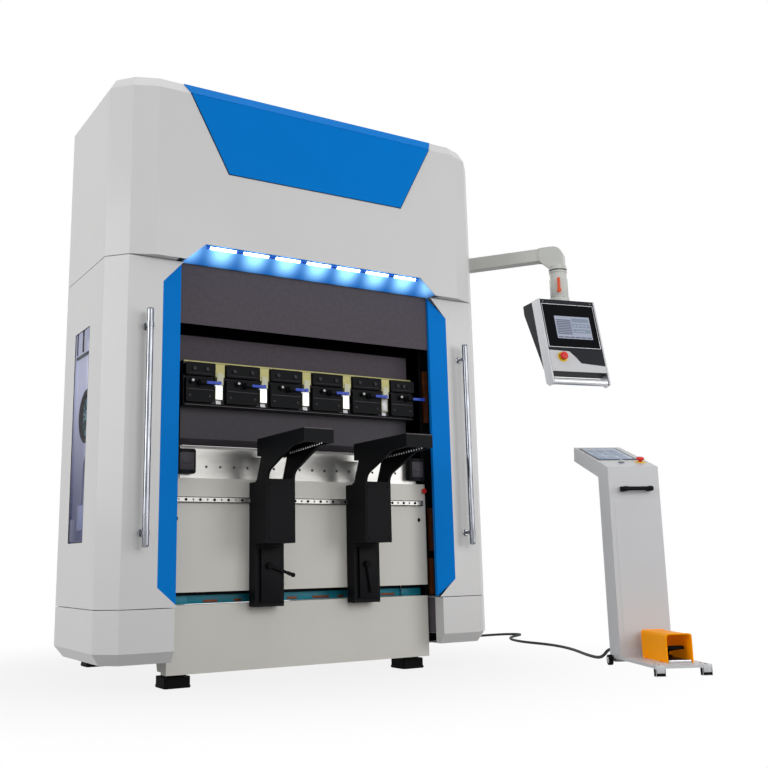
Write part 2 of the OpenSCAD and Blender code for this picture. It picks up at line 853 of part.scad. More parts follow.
module door_handle(side) {
  color("gainsboro") placed() on_side(side) {
    translate([handle_x, -handle_out, handle_low]) cylinder(r = handle_r, h = handle_len);
    for (z = [handle_low + 48, handle_low + handle_len - 61]) {
      y_rod(7, handle_x, -handle_out, 0, z);
      y_rod(11, handle_x, -6, 0, z);
    }
  }
}

// --- ram and clamps --------------------------------------------------------------------------

module ram() {
  color([0.22, 0.2, 0.21]) placed() {
    block([-ram_half, ram_half], [ram_front, ram_back], [ram_bottom, ram_top]);
    ram_guides();
  }
}

module ram_guides() {
  shoe_y = [ram_back, screw_y + 26];
  nut_z = ram_bottom + 290;
  for (side = [-1, 1]) on_side(side) {
    for (z = [ram_bottom + 20, ram_top - 250]) difference() {
      block([frame_in - 52, frame_in - 5], shoe_y, [z, z + 100]);
      block([frame_in - rail_grip - run_gap, frame_in], [screw_y - 12 - run_gap, screw_y + 12 + run_gap],
        [z - 1, z + 101]);
    }
    difference() {
      block([screw_x - 50, screw_x + 50], [ram_back, screw_y + 45], [nut_z, nut_z + 90]);
      translate([screw_x, screw_y, nut_z - 1]) cylinder(r = screw_r + shaft_gap, h = 92);
    }
  }
}

module tool_holder() {
  color([0.13, 0.12, 0.13]) placed() {
    block([-holder_half, holder_half], [holder_front, holder_front + holder_t], [holder_low, ram_bottom]);
  }
}

function clamp_x(i) = (i - (clamp_count - 1) / 2) * clamp_pitch;

// Heights on the clamps, counted up from the tool holder's lower edge
upper_clamp_z = 122;
upper_clamp_h = 52;
lower_clamp_z = 14;
lower_clamp_h = 100;
lever_z = 92;
lever_x = 10;

// One clamp at x = mid; the outer clamps end with the tool holder
module clamp_block(mid) {
  front = holder_front - clamp_t;
  left = max(-clamp_w / 2, -holder_half - mid);
  right = min(clamp_w / 2, holder_half - mid);
  xz_plate(front, clamp_t) translate([left, holder_low + upper_clamp_z]) {
    rounded(right - left, upper_clamp_h, 8);
  }
  difference() {
    xz_plate(front + 6, clamp_t - 6) translate([left + 3, holder_low + lower_clamp_z]) {
      rounded(right - left - 6, lower_clamp_h, 6);
    }
    y_rod(8 + shaft_gap, lever_x, front, front + 19, holder_low + lever_z);
  }
  for (x = [left + 35, right - 35]) {
    y_rod(7, x, front - 3, front + 1, holder_low + upper_clamp_z + upper_clamp_h / 2);
  }
}

module clamp_blocks() {
  color([0.1, 0.1, 0.11]) placed() for (i = [0:clamp_count - 1]) {
    translate([clamp_x(i), 0, 0]) clamp_block(clamp_x(i));
  }
}

module clamp_spacers() {
  gap = clamp_pitch - clamp_w;
  top = holder_low + upper_clamp_z;
  placed() for (i = [0:clamp_count - 2]) translate([clamp_x(i) + clamp_pitch / 2, 0, 0]) {
    color([0.7, 0.68, 0.35]) {
      block([-gap / 2 + 5, gap / 2 - 5], [holder_front - 22, holder_front], [top - 2, top + upper_clamp_h]);
      y_rod(11, 0, holder_front - 20, holder_front, top - 14);
    }
    color("white") {
      block([-gap / 2 + 9, gap / 2 - 9], [holder_front - 12, holder_front],
        [holder_low + 30, holder_low + 86]);
    }
  }
}

module clamp_lever(i) {
  face = holder_front - clamp_t + 6;
  z = holder_low + lever_z;
  color([0.1, 0.2, 0.85]) placed() translate([clamp_x(i) + lever_x, 0, 0]) {
    y_rod(8, 0, face - 22, face + 12, z);
    y_rod(12, 0, face - 8, face - run_gap, z);
    xz_plate(face - 22, 9) translate([0, z - 5]) square([lever_len, 10]);
    y_rod(8, lever_len, face - 24, face - 12, z);
  }
}

module punch() {
  color([0.3, 0.27, 0.28]) placed() yz_plate(-tool_half, 2 * tool_half) polygon([
    [tool_y - 16, holder_low], [tool_y - 16, punch_tip + 26], [tool_y - 1, punch_tip],
    [tool_y + 1, punch_tip], [tool_y + 10, punch_tip + 26], [tool_y + 10, holder_low]
  ]);
}

// --- support arms ----------------------------------------------------------------------------

column_front = 41;
column_low = 292;
column_top = 780;
box_depth = 101;
box_low = 536;
arm_lever_x = 52;
arm_lever_z = 450;

// Column that slides along the front rail
module arm_carriage() {
  rear = bed_front - 2;
  difference() {
    block([0, arm_w], [column_front, rear], [column_low, column_top]);
    block([-1, arm_w + 1], [bed_front - rail_t - run_gap, rear + 1],
      [rail_z - rail_h / 2 - run_gap, rail_z + rail_h / 2 + run_gap]);
    block([14, arm_w - 14], [column_front + 10, rear + 1], [column_low + 12, rail_z - 60]);
    y_rod(7 + shaft_gap, arm_lever_x, column_front - 1, column_front + 12, arm_lever_z);
  }
}

// Side profile of an arm's rib: up from the box, round a bend, then on a slope to the arm's underside
module rib_outline() {
  foot = column_front - box_depth;
  bend = 40;
  slope = 0.4;
  knee = column_top + 31;
  run = 204;
  drop = bend * tan((90 - atan(slope)) / 2);
  polygon([
    [column_front - 8, column_top], [foot, column_top], [foot, knee], [foot - run, knee + slope * run],
    [foot - run, knee + slope * run + 3], [column_front - 54, arm_top - 68]
  ]);
  difference() {
    polygon([
      [foot + 1, knee - drop], [foot + 1, knee + 1], [foot - drop * cos(atan(slope)), knee + slope * drop + 1],
      [foot - bend, knee - drop]
    ]);
    translate([foot - bend, knee - drop]) circle(bend);
  }
}

// Side profile of the arm: deeper at the rear than at its tip
module arm_outline() {
  back = column_front - 15;
  polygon([
    [-arm_reach, arm_top - 52], [back, arm_top - 70], [back, arm_top], [-arm_reach, arm_top]
  ]);
}

module support_arm(x0) {
  wall = 12;
  color([0.06, 0.06, 0.07]) placed() translate([x0, 0, 0]) {
    arm_carriage();
    block([0, arm_w], [column_front - box_depth, column_front + 1], [box_low, column_top + 6]);
    for (x = [0, arm_w - wall]) yz_plate(x, wall) rib_outline();
    difference() {
      yz_plate(0, arm_w) arm_outline();
      block([wall, arm_w - wall], [-arm_reach + wall, column_front - 30], [arm_top - 74, arm_top - 8]);
      for (y = [-arm_reach + 34:20:-60]) {
        block([wall + 3, arm_w - wall - 3], [y, y + 8], [arm_top - 9, arm_top + 1]);
      }
    }
  }
}

module arm_lever(x0, turn) {
  reach = 112;
  y = column_front - 20;
  color([0.05, 0.05, 0.06]) placed() translate([x0 + arm_lever_x, 0, arm_lever_z]) rotate([0, turn, 0]) {
    y_rod(13, 0, column_front - 30, column_front - run_gap, 0);
    y_rod(7, 0, column_front - 31, column_front + 9, 0);
    x_rod(6, 0, reach, y, 0);
    translate([reach, y, 0]) sphere(9);
  }
}

// --- pendant ---------------------------------------------------------------------------------

module pendant_arm() {
  eye_r = 30;
  eye_gap = 0.5;
  eye_h = 70 - 2 * eye_gap;
  half = pendant_tube / 2;
  bend = 52;
  drop = pendant_z - swivel_z;
  color([0.77, 0.77, 0.73]) placed() {
    difference() {
      union() {
        translate([pivot[0], pivot[1], pendant_z]) rotate(arm_angle) {
          translate([0, 0, -eye_h / 2]) cylinder(r = eye_r, h = eye_h);
          block([0, pendant_arm_len - 40], [-half, half], [-half, half]);
          rotate([90, 0, 0]) translate([pendant_arm_len, 0, -half - 3]) linear_extrude(2 * half + 6) {
            hull() {
              translate([half + 3 - bend, half + 3 - bend]) circle(bend);
              translate([-80, -half - 3]) square([40, 2 * half + 6]);
              translate([-half - 3, 12 - drop]) square([2 * half + 6, 10]);
            }
          }
        }
        translate([elbow[0], elbow[1], swivel_z]) cylinder(r = coupling_r + 1, h = 20);
      }
      translate([pivot[0], pivot[1], pendant_z - eye_h]) cylinder(r = 12 + shaft_gap, h = 2 * eye_h);
      translate([elbow[0], elbow[1], swivel_z - 1]) cylinder(r = swivel_r + shaft_gap, h = spigot_h + 3);
    }
  }
}

// Places children on the pendant: X across, Y backwards, Z up, from the middle of its top front edge
module on_pendant() {
  placed() translate([elbow[0], elbow[1], coupling_low]) rotate(pendant_yaw) translate([0, -57, 0])
    rotate([-pendant_tilt, 0, 0]) children();
}

stop_x = -78;
stop_z = -302;

module pendant_case() {
  half = pendant_w / 2;
  top_rise = pendant_depth * tan(pendant_tilt);
  color([0.13, 0.13, 0.14]) difference() {
    on_pendant() {
      yz_plate(-half + 7, pendant_w - 14) polygon([
        [0, 0], [0, -pendant_h], [62, -pendant_h], [pendant_depth + 4, -10], [pendant_depth, top_rise]
      ]);
      translate([stop_x, 0, stop_z]) rotate([90, 0, 0]) cylinder(r = 24, h = 3);
    }
    on_pendant() translate([stop_x, 16, stop_z]) rotate([90, 0, 0]) cylinder(r = push_r + shaft_gap, h = 20);
  }
  color([0.75, 0.75, 0.77]) on_pendant() {
    for (side = [-1, 1]) on_side(side) yz_plate(half - 8, 8) polygon([
      [-2, 0], [-2, -pendant_h - 58], [40, -pendant_h - 58], [60, -pendant_h - 38], [60, 13]
    ]);
    x_rod(16, -half + 7, half - 7, 19, -pendant_h - 42);
  }
  color([0.77, 0.77, 0.73]) placed() translate([elbow[0], elbow[1], coupling_low]) difference() {
    union() {
      translate([0, 0, -4]) cylinder(r = coupling_r + 6, h = 26);
      cylinder(r = coupling_r, h = swivel_z - coupling_low - run_gap);
      cylinder(r = swivel_r, h = swivel_z - coupling_low + spigot_h);
    }
    rotate(lever_yaw) {
      y_rod(7 + shaft_gap, 0, -coupling_r - 1, -coupling_r + 22, pendant_lever_z - coupling_low);
    }
  }
}

module pendant_screen() {
  color([0.05, 0.05, 0.06]) on_pendant() {
    xz_plate(-3, 3) translate([-pendant_w / 2 + 12, -252]) square([pendant_w - 28, 226]);
  }
}

module pendant_lever() {
  color([0.9, 0.2, 0.1]) placed() translate([elbow[0], elbow[1], pendant_lever_z]) rotate(lever_yaw) {
    y_rod(7, 0, -coupling_r - 22, -coupling_r + 20, 0);
    block([-6, 6], [-coupling_r - 22, -coupling_r - 12], [-7, 62]);
  }
}

// Mushroom push button standing up along Z, its stem below
module push_button(head_r, rise) {
  rotate_extrude() polygon([
    [0, -8], [push_r, -8], [push_r, rise], [head_r - 4, rise], [head_r, rise + 4],
    [head_r, rise + 9], [head_r - 5, rise + 14], [0, rise + 15]
  ]);
}

module pendant_stop() {
  color("red") on_pendant() translate([stop_x, 0, stop_z]) rotate([90, 0, 0]) push_button(19, 11);
}

// --- console ---------------------------------------------------------------------------------

module on_console() {
  placed() translate(console_at) rotate(console_yaw) children();
}

// Places children on the sloped head: X across, Y up the slope, Z out of it
module on_head() {
  on_console() translate([0, 0, console_h]) rotate([head_angle, 0, 0]) children();
}

module column_outline(t) {
  low = console_base_z - (t > 0 ? 1 : 0);
  polygon([
    [t, low], [t, console_h - t * 0.8], [head_len - t, head_top - t * 1.3],
    [head_len + 8 - t, head_top - 66 + t], [console_d - t, console_h - 34 + t], [console_d - t, low]
  ]);
}

console_stop_at = [console_w - 42, 96];
console_button_at = [console_w / 2 - 18, 88];

module console_column() {
  ring_h = 3;
  wall = 2.5;
  color([0.78, 0.78, 0.79]) difference() {
    union() {
      on_console() difference() {
        yz_plate(0, console_w) column_outline(0);
        yz_plate(wall, console_w - 2 * wall) column_outline(wall);
      }
      on_head() translate([console_stop_at[0], console_stop_at[1], -1]) cylinder(r = 23, h = ring_h + 1);
    }
    for (p = [console_stop_at, console_button_at]) {
      on_head() translate([p[0], p[1], -8]) cylinder(r = push_r + shaft_gap, h = 16);
    }
  }
  color([0.1, 0.1, 0.1]) on_console() y_rod(14, 42, console_d - 1, console_d + gland_len, 64);
}

module console_base() {
  t = 12;
  foot = [40, 22];
  axle_y = 96;
  color([0.85, 0.85, 0.85]) on_console() {
    block([0, console_w], [-console_base_reach, console_d], [console_base_z - t, console_base_z]);
    block([8, console_w - 8], [axle_y - 12, axle_y + 12], [wheel_r - 8, console_base_z - t + 1]);
    x_rod(axle_r, -wheel_reach - 4, console_w + wheel_reach + 4, axle_y, wheel_r);
    for (x = [-wheel_reach - 4, console_w + wheel_reach]) x_rod(axle_r + 4, x, x + 4, axle_y, wheel_r);
  }
  color([0.1, 0.1, 0.1]) on_console() for (x = [0, console_w - foot[0]]) {
    block([x, x + foot[0]], [-console_base_reach, -console_base_reach + foot[1]],
      [0, console_base_z - t + 1]);
  }
}

module console_screen() {
  color([0.35, 0.5, 0.65]) on_head() block([14, console_w - 34], [150, 425], [0, 2]);
}

module console_handle() {
  z = console_h - 98;
  x0 = 52;
  x1 = 186;
  color([0.05, 0.05, 0.05]) on_console() {
    x_rod(9, x0, x1, -34, z);
    for (x = [x0 + 8, x1 - 8]) y_rod(7, x, -34, 0, z);
  }
}

module console_stop() {
  color("red") on_head() translate([console_stop_at[0], console_stop_at[1], 0]) push_button(18, 10);
}

module console_button() {
  color("gainsboro") on_head() translate([console_button_at[0], console_button_at[1], 0]) {
    rotate_extrude() polygon([[0, -8], [push_r, -8], [push_r, 6], [11, 6], [11, 12], [0, 12]]);
  }
}

module console_wheels() {
  wheel_w = 16;
  color([0.1, 0.1, 0.1]) on_console() difference() {
    for (x = [-wheel_reach + 1, console_w + wheel_reach - 1 - wheel_w]) {
      x_rod(wheel_r, x, x + wheel_w, 96, wheel_r);
    }
    x_rod(axle_r + shaft_gap, -60, console_w + 60, 96, wheel_r);
  }
}

// --- foot pedal ------------------------------------------------------------------------------

guard_x = 84;
guard_back = -38;
pedal_y = guard_back - 44;
pedal_z = console_base_z + 24;
pedal_pin_r = 6;
pedal_rise = 9;

module guard_outline(t) {
  r = 14;
  w = guard_w - 2 * t;
  h = guard_h - t;
  translate([guard_x + t, console_base_z - (t > 0 ? 1 : 0)]) {
    square([w, h - r]);
    rounded(w, h + (t > 0 ? 1 : 0), r);
  }
}

module pedal_guard() {
  wall = 3;
  color([0.98, 0.6, 0.0]) on_console() {
    difference() {
      xz_plate(guard_back - guard_len, guard_len) guard_outline(0);
      xz_plate(guard_back - guard_len - 1, guard_len + 1 - wall) guard_outline(wall);
    }
  }
  color("silver") on_console() {
    x_rod(pedal_pin_r, guard_x + 1, guard_x + guard_w - 1, pedal_y, pedal_z);
  }
}

module pedal() {
  w = guard_w - 30;
  reach = guard_len - 84;
  color([0.12, 0.12, 0.12]) on_console() translate([guard_x + guard_w / 2, pedal_y, pedal_z]) {
    rotate([-pedal_rise, 0, 0]) difference() {
      union() {
        x_rod(12, -w / 2, w / 2, 0, 0);
        block([-w / 2, w / 2], [-reach, 0], [0, 11]);
      }
      x_rod(pedal_pin_r + shaft_gap, -w, w, 0, 0);
    }
  }
}

// --- cable -----------------------------------------------------------------------------------

// Smooth curve through the route: one extra point midway between each two
function spline_mid(a, b, c, d) = (9 * (b + c) - a - d) / 16;
function cable_points(p) = let (n = len(p)) [
  for (i = [0:n - 2]) each [
    p[i],
    spline_mid(p[max(i - 1, 0)], p[i], p[i + 1], p[min(i + 2, n - 1)])
  ],
  p[n - 1]
];
function unit(v) = v / norm(v);
function tangent(p, i) = i == 0 ? [0, 1, 0] : i == len(p) - 1 ? -console_back : unit(p[i + 1] - p[i - 1]);
function carried(side, dir) = unit(side - (side * dir) * dir);

module cable() {
  sides = 10;
  p = cable_points(cable_route);
  n = len(p);
  side = [for (i = 0, v = [1, 0, 0]; i < n; i = i + 1, v = i < n ? carried(v, tangent(p, i)) : v) v];
  rings = [
    for (i = [0:n - 1]) let (u = side[i], w = cross(tangent(p, i), u)) for (k = [0:sides - 1])
      p[i] + cable_d / 2 * (cos(360 * k / sides) * u + sin(360 * k / sides) * w)
  ];
  faces = concat(
    [[for (k = [0:sides - 1]) sides - 1 - k]],
    [for (i = [0:n - 2], k = [0:sides - 1]) each [
      [i * sides + k, i * sides + (k + 1) % sides, (i + 1) * sides + k],
      [i * sides + (k + 1) % sides, (i + 1) * sides + (k + 1) % sides, (i + 1) * sides + k]
    ]],
    [[for (k = [0:sides - 1]) (n - 1) * sides + k]]
  );
  color([0.12, 0.12, 0.12]) placed() polyhedron(rings, faces);
}

// --- nodes -----------------------------------------------------------------------------------

side_frames();
cross_beams();
levelling_feet();
base_plate();
bed_plate();
table_beam();
die();
end_blocks();
front_rail();
drive_units();
gauge_base();
hood();
header_panel();
light_bar();
lamps();
upper_cover();
leg_covers();
door(-1);  // left_door
trim(-1);  // left_trim
window(-1);  // left_window
door_handle(-1);  // left_handle
door(1);  // right_door
trim(1);  // right_trim
window(1);  // right_window
door_handle(1);  // right_handle
ram();
tool_holder();
clamp_blocks();
clamp_spacers();
punch();
clamp_lever(0);  // clamp_lever_1
clamp_lever(1);  // clamp_lever_2
clamp_lever(2);  // clamp_lever_3
clamp_lever(3);  // clamp_lever_4
clamp_lever(4);  // clamp_lever_5
clamp_lever(5);  // clamp_lever_6
ball_screw(-1);  // left_ball_screw
ball_screw(1);  // right_ball_screw
support_arm(left_arm_x);  // left_support_arm
arm_lever(left_arm_x, 20);  // left_arm_lever
support_arm(right_arm_x);  // right_support_arm
arm_lever(right_arm_x, 80);  // right_arm_lever
gauge_beam();
gauge_finger(-250);  // left_gauge_finger
gauge_finger(250);  // right_gauge_finger
pendant_arm();
pendant_case();
pendant_screen();
pendant_lever();
pendant_stop();
console_column();
console_base();
console_screen();
console_handle();
console_stop();
console_button();
console_wheels();
pedal_guard();
pedal();
cable();
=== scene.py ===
import json
import math

import bpy
import numpy as np
from mathutils import Matrix


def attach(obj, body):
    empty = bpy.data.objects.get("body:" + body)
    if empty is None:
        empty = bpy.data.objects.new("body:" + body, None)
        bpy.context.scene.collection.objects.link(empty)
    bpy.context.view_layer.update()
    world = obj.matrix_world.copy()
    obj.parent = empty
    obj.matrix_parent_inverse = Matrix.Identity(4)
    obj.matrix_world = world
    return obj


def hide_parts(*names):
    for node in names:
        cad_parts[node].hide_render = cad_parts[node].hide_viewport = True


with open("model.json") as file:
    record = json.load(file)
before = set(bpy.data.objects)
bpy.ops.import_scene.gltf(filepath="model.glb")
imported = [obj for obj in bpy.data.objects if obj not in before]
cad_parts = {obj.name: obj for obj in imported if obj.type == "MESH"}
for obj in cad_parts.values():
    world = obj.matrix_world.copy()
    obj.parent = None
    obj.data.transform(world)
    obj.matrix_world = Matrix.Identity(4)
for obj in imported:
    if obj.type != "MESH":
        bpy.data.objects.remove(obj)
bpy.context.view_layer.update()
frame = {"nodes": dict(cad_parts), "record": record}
nodes = frame["nodes"]
scene = bpy.context.scene


# --- places -----------------------------------------------
# Sizes are millimetres. The press is measured from the middle of its doors' front plane on the floor, with
# X to its right, Y backwards and Z up. Each place function takes points of one part of the machine to
# metres in the row frame, and reach and middle read sizes of the press from its CAD nodes.

ORIGIN_Y = 700.0  # from the doors' plane back to the row's origin
ARM_AT = np.array([955.8, 352.8, 1920.0])  # the pendant arm's pivot, at the arm's middle height
ARM_TURN = math.radians(-54)
ARM_REACH = 572.0  # from the arm's pivot to the pendant's swivel
ELBOW = ARM_AT + [ARM_REACH * math.cos(ARM_TURN), ARM_REACH * math.sin(ARM_TURN), -250]
PENDANT_YAW = math.radians(-12.6)
PENDANT_TILT = math.radians(-13.0)
PENDANT_FRONT = -57.0  # from the swivel's axis to the pendant's face
LEVER_YAW = PENDANT_YAW - math.radians(30)
CONSOLE_AT = np.array([1244.0, -396.0, 0.0])  # the front left corner of the console's column
CONSOLE_YAW = math.radians(-25.0)
HEAD_AT, HEAD_TILT = np.array([0.0, 0.0, 850.0]), math.atan2(135.0, 436.0)
PIN_AT, TREAD_TILT = np.array([137.0, -82.0, 66.0]), math.radians(-9)
SLOPE_AT, LAMP_LEAN = np.array([0.0, -34.0, 1715.0]), math.atan2(57.0, 70.0)


def turn_x(p, angle):
    """Turns points about the X axis: y' = y cos - z sin, z' = y sin + z cos."""
    c, s = math.cos(angle), math.sin(angle)
    return np.stack([p[:, 0], c * p[:, 1] - s * p[:, 2], s * p[:, 1] + c * p[:, 2]], 1)


def turn_z(p, angle):
    """Turns points about the Z axis: x' = x cos - y sin, y' = x sin + y cos."""
    c, s = math.cos(angle), math.sin(angle)
    return np.stack([c * p[:, 0] - s * p[:, 1], s * p[:, 0] + c * p[:, 1], p[:, 2]], 1)


def on_press(p):
    """From the doors' plane to the row frame."""
    return (np.asarray(p, float) - [0, ORIGIN_Y, 0]) / 1000


def reach(name, axis, inset=0.0):
    """From where to where a CAD node goes along an axis of the press, each end drawn in by the inset."""
    vertices = nodes[name].data.vertices
    points = np.empty(3 * len(vertices))
    vertices.foreach_get("co", points)
    along = (1000 * points.reshape(-1, 3) + [0, ORIGIN_Y, 0])[:, "xyz".index(axis)].round(2)
    return along.min() + inset, along.max() - inset


def middle(name, axis):
    """The middle of a CAD node along an axis of the press."""
    return sum(reach(name, axis)) / 2


def on_pendant(p):
    """Pendant face: X across, Y backwards, Z up, from the middle of its top front edge."""
    return on_coupling(turn_x(p, PENDANT_TILT) + [0, PENDANT_FRONT, 0])


def on_coupling(p):
    """Upright swivel over the pendant, turned as the pendant is."""
    return on_press(turn_z(p, PENDANT_YAW) + ELBOW)


def on_lever(p):
    """The same swivel, turned to where its clamp lever stands."""
    return on_press(turn_z(p, LEVER_YAW) + ELBOW)


def on_arm(p):
    """Pendant arm: X along it from its pivot, Z up from its middle height."""
    return on_press(turn_z(p, ARM_TURN) + ARM_AT)


def on_console(p):
    """Console: X across, Y backwards, Z up, from the front left corner of its column."""
    return on_press(turn_z(p, CONSOLE_YAW) + CONSOLE_AT)


def on_head(p):
    """Console head: X across, Y up its slope, Z out of it."""
    return on_console(turn_x(p, HEAD_TILT) + HEAD_AT)


def on_tread(p):
    """Foot switch: X across, Y back from the tread's pin, Z out of the tread."""
    return on_console(turn_x(p, TREAD_TILT) + PIN_AT)


def on_slope(p):
    """Sloped lamp panel: X across, Z up its slope from the top edge, Y behind its face."""
    return on_press(turn_x(p, LAMP_LEAN) + SLOPE_AT)


# --- shapes -----------------------------------------------

def skin(rings, hollow=False):
    """Closed shape over a stack of rings, as (points, faces): each ring is a row of an array, and quads join
    neighbouring rows. A flat face closes each end, or, in a hollow shape, the last row joins the first."""
    rings = np.asarray(rings, float)
    n, m = rings.shape[:2]
    i = np.arange(n if hollow else n - 1)[:, None]
    j = np.arange(m)[None, :]
    k, up = (j + 1) % m, (i + 1) % n
    faces = np.stack([i * m + j, i * m + k, up * m + k, up * m + j], -1).reshape(-1, 4).tolist()
    if not hollow:
        faces.append(list(range(m))[::-1])
        faces.append([(n - 1) * m + a for a in range(m)])
    return rings.reshape(-1, 3), faces


def span(centre, half):
    """From half below the centre to half above it."""
    return centre - half, centre + half


def slab(x, y, z, r=1.5, k=2):
    """Box with rounded edges: a sphere of radius r cut at its three middle planes, its eight pieces moved
    to the corners of a box r smaller all round."""
    lo, hi = np.array([x, y, z], float).T
    r = min(r, 0.49 * float((hi - lo).min()))
    quarter = np.linspace(0, math.pi / 2, k + 1)
    u = np.concatenate([quarter + a * math.pi / 2 for a in range(4)])
    v = np.concatenate([quarter - math.pi / 2, quarter])
    sx = np.repeat([1, -1, -1, 1], k + 1)
    sy = np.repeat([1, 1, -1, -1], k + 1)
    sz = np.repeat([-1, 1], k + 1)
    mid, half = (lo + hi) / 2, (hi - lo) / 2 - r
    px = mid[0] + sx * half[0] + r * np.outer(np.cos(v), np.cos(u))
    py = mid[1] + sy * half[1] + r * np.outer(np.cos(v), np.sin(u))
    pz = (mid[2] + sz * half[2] + r * np.sin(v))[:, None] + 0 * px
    return skin(np.stack([px, py, pz], -1))


def border(x, y, z, width, r, thin):
    """Four bars just inside the edges of a box that is thin along one axis: for each of the other two axes,
    a strip of the width at its low end and one at its high end."""
    bars = []
    for axis in "xyz".replace(thin, ""):
        sides = {"x": x, "y": y, "z": z}
        lo, hi = sides[axis]
        for strip in ((lo, lo + width), (hi - width, hi)):
            sides[axis] = strip
            bars.append(slab(**sides, r=r))
    return bars


def turned(profile, centre, axis="z", n=32, hollow=False):
    """Turned shape: the profile's (radius, height) pairs carried round an axis through the centre."""
    profile = np.asarray(profile, float)
    a = np.linspace(0, 2 * math.pi, n, endpoint=False)
    rings = np.stack([profile[:, :1] * np.cos(a), profile[:, :1] * np.sin(a), profile[:, 1:] + 0 * a], -1)
    order = {"x": [2, 0, 1], "y": [1, 2, 0], "z": [0, 1, 2]}[axis]
    return skin(rings[:, :, order] + np.asarray(centre, float), hollow)


def ring(centre, inner, outer, lo, hi, axis="z", edge=0.6, n=36):
    """Flat ring with chamfered outer edges, as a closed profile carried round its axis."""
    profile = [(inner, lo), (outer - edge, lo), (outer, lo + edge), (outer, hi - edge), (outer - edge, hi),
               (inner, hi)]
    return turned(profile, centre, axis, n, hollow=True)


def socket_screw(centre, radius, height, axis="y", out=-1):
    """Cap screw: a short cylinder with a chamfer and a round recess in its head, which points out along the
    axis (1) or against it (-1)."""
    profile = np.array([(1, 0), (1, 0.85), (0.85, 1), (0.5, 1), (0.45, 0.4), (0.02, 0.35)])
    return turned(profile * [radius, out * height], centre, axis, 14)


def plate(outline, axis, lo, hi, edge=0.8):
    """Flat plate: its outline carried along an axis, both ends drawn in by a small chamfer. The inset of a
    corner is the chamfer along both neighbouring edges' inward normals, divided by one plus their cosine."""
    p = np.asarray(outline, float)
    ahead = np.roll(p, -1, 0)
    way = (ahead - p) / np.linalg.norm(ahead - p, axis=1)[:, None]
    turns_left = float(np.sum(p[:, 0] * ahead[:, 1] - ahead[:, 0] * p[:, 1])) > 0
    n1 = np.stack([-way[:, 1], way[:, 0]], 1) * (1 if turns_left else -1)
    n0 = np.roll(n1, 1, 0)
    inset = edge * (n0 + n1) / (1 + np.sum(n0 * n1, 1))[:, None]
    stack = [(lo, p + inset), (lo + edge, p), (hi - edge, p), (hi, p + inset)]
    rings = np.stack([np.column_stack([q, np.full(len(p), h)]) for h, q in stack])
    order = {"x": [2, 0, 1], "y": [0, 2, 1], "z": [0, 1, 2]}[axis]
    return skin(rings[:, :, order])


def refined(path, passes):
    """The path with more points: each pass puts one between each two neighbours b and c, with a before and
    d after them, at (9(b + c) - a - d) / 16."""
    p = np.asarray(path, float)
    for _ in range(passes):
        before, after = np.vstack([p[:1], p[:-2]]), np.vstack([p[2:], p[-1:]])
        out = np.empty((2 * len(p) - 1, 3))
        out[0::2], out[1::2] = p, (9 * (p[:-1] + p[1:]) - before - after) / 16
        p = out
    return p


def tube(path, radius, n=12, fine=2, along=(0, 0, 1)):
    """Round tube on a refined path. Across the tube its first direction is the path's direction crossed with
    the reference, and its second is the first crossed with the path's direction."""
    p = refined(path, fine)
    t = np.gradient(p, axis=0)
    t /= np.linalg.norm(t, axis=1)[:, None]
    side = np.cross(t, along)
    side /= np.linalg.norm(side, axis=1)[:, None]
    up = np.cross(side, t)
    a = np.linspace(0, 2 * math.pi, n, endpoint=False)[None, :, None]
    return skin(p[:, None, :] + radius * (np.cos(a) * side[:, None, :] + np.sin(a) * up[:, None, :]))


def side_tube(path, radius, n=8, fine=0):
    """Tube with X as its reference, for a path that never runs along X."""
    return tube(path, radius, n, fine, along=(1, 0, 0))


def round_box(x, y, r, k=5):
    """Outline of a rectangle with round corners, each a quarter circle of k + 1 points."""
    a = np.linspace(0, math.pi / 2, k + 1)
    a = np.concatenate([a + q * math.pi / 2 for q in range(4)])
    cx = np.repeat([x[1] - r, x[0] + r, x[0] + r, x[1] - r], k + 1)
    cy = np.repeat([y[1] - r, y[1] - r, y[0] + r, y[0] + r], k + 1)
    return np.stack([cx + r * np.cos(a), cy + r * np.sin(a)], 1)


def mirrored(shape):
    """The same shape on the other side of the machine: x becomes -x and each face is read backwards."""
    points, faces = shape
    return points * [-1, 1, 1], [f[::-1] for f in faces]


def both(shapes):
    """The shapes and their mirror images."""
    return shapes + [mirrored(q) for q in shapes]


def for_side(side, shapes):
    """The shapes as they are for the right side, 1, or mirrored for the left, -1."""
    return shapes if side > 0 else [mirrored(q) for q in shapes]


def outward(points, faces):
    """A closed shape's faces, turned outwards: its volume, summed from corner triangles, is positive."""
    tri = np.array([(f[0], f[i], f[i + 1]) for f in faces for i in range(1, len(f) - 1)])
    a, b, c = points[tri[:, 0]], points[tri[:, 1]], points[tri[:, 2]]
    if float(np.sum(a * np.cross(b, c))) < 0:
        return [f[::-1] for f in faces]
    return faces


def piece(name, shapes, look, body="press", place=on_press, stands_for=(), crease=35):
    """One visible piece from several closed shapes, put in their place, with its look as its material."""
    points, faces, start = [], [], 0
    for p, f in shapes:
        q = place(p)
        f = outward(q - q.mean(0), f)
        points.append(q)
        faces += [[i + start for i in g] for g in f]
        start += len(q)
    data = bpy.data.meshes.new(name)
    data.from_pydata(np.concatenate(points).tolist(), [], faces)
    data.materials.append(look)
    data.shade_smooth()
    data.set_sharp_from_angle(angle=math.radians(crease))
    obj = bpy.data.objects.new(name, data)
    scene.collection.objects.link(obj)
    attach(obj, body)
    if stands_for:
        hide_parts(*stands_for)
    return obj


def ram_piece(name, shapes, look):
    """A piece that rides on the ram."""
    return piece(name, shapes, look, "ram")


def pendant_piece(name, shapes, look, body="pendant", place=on_pendant, crease=35):
    """A piece of the pendant."""
    return piece(name, shapes, look, body, place, crease=crease)


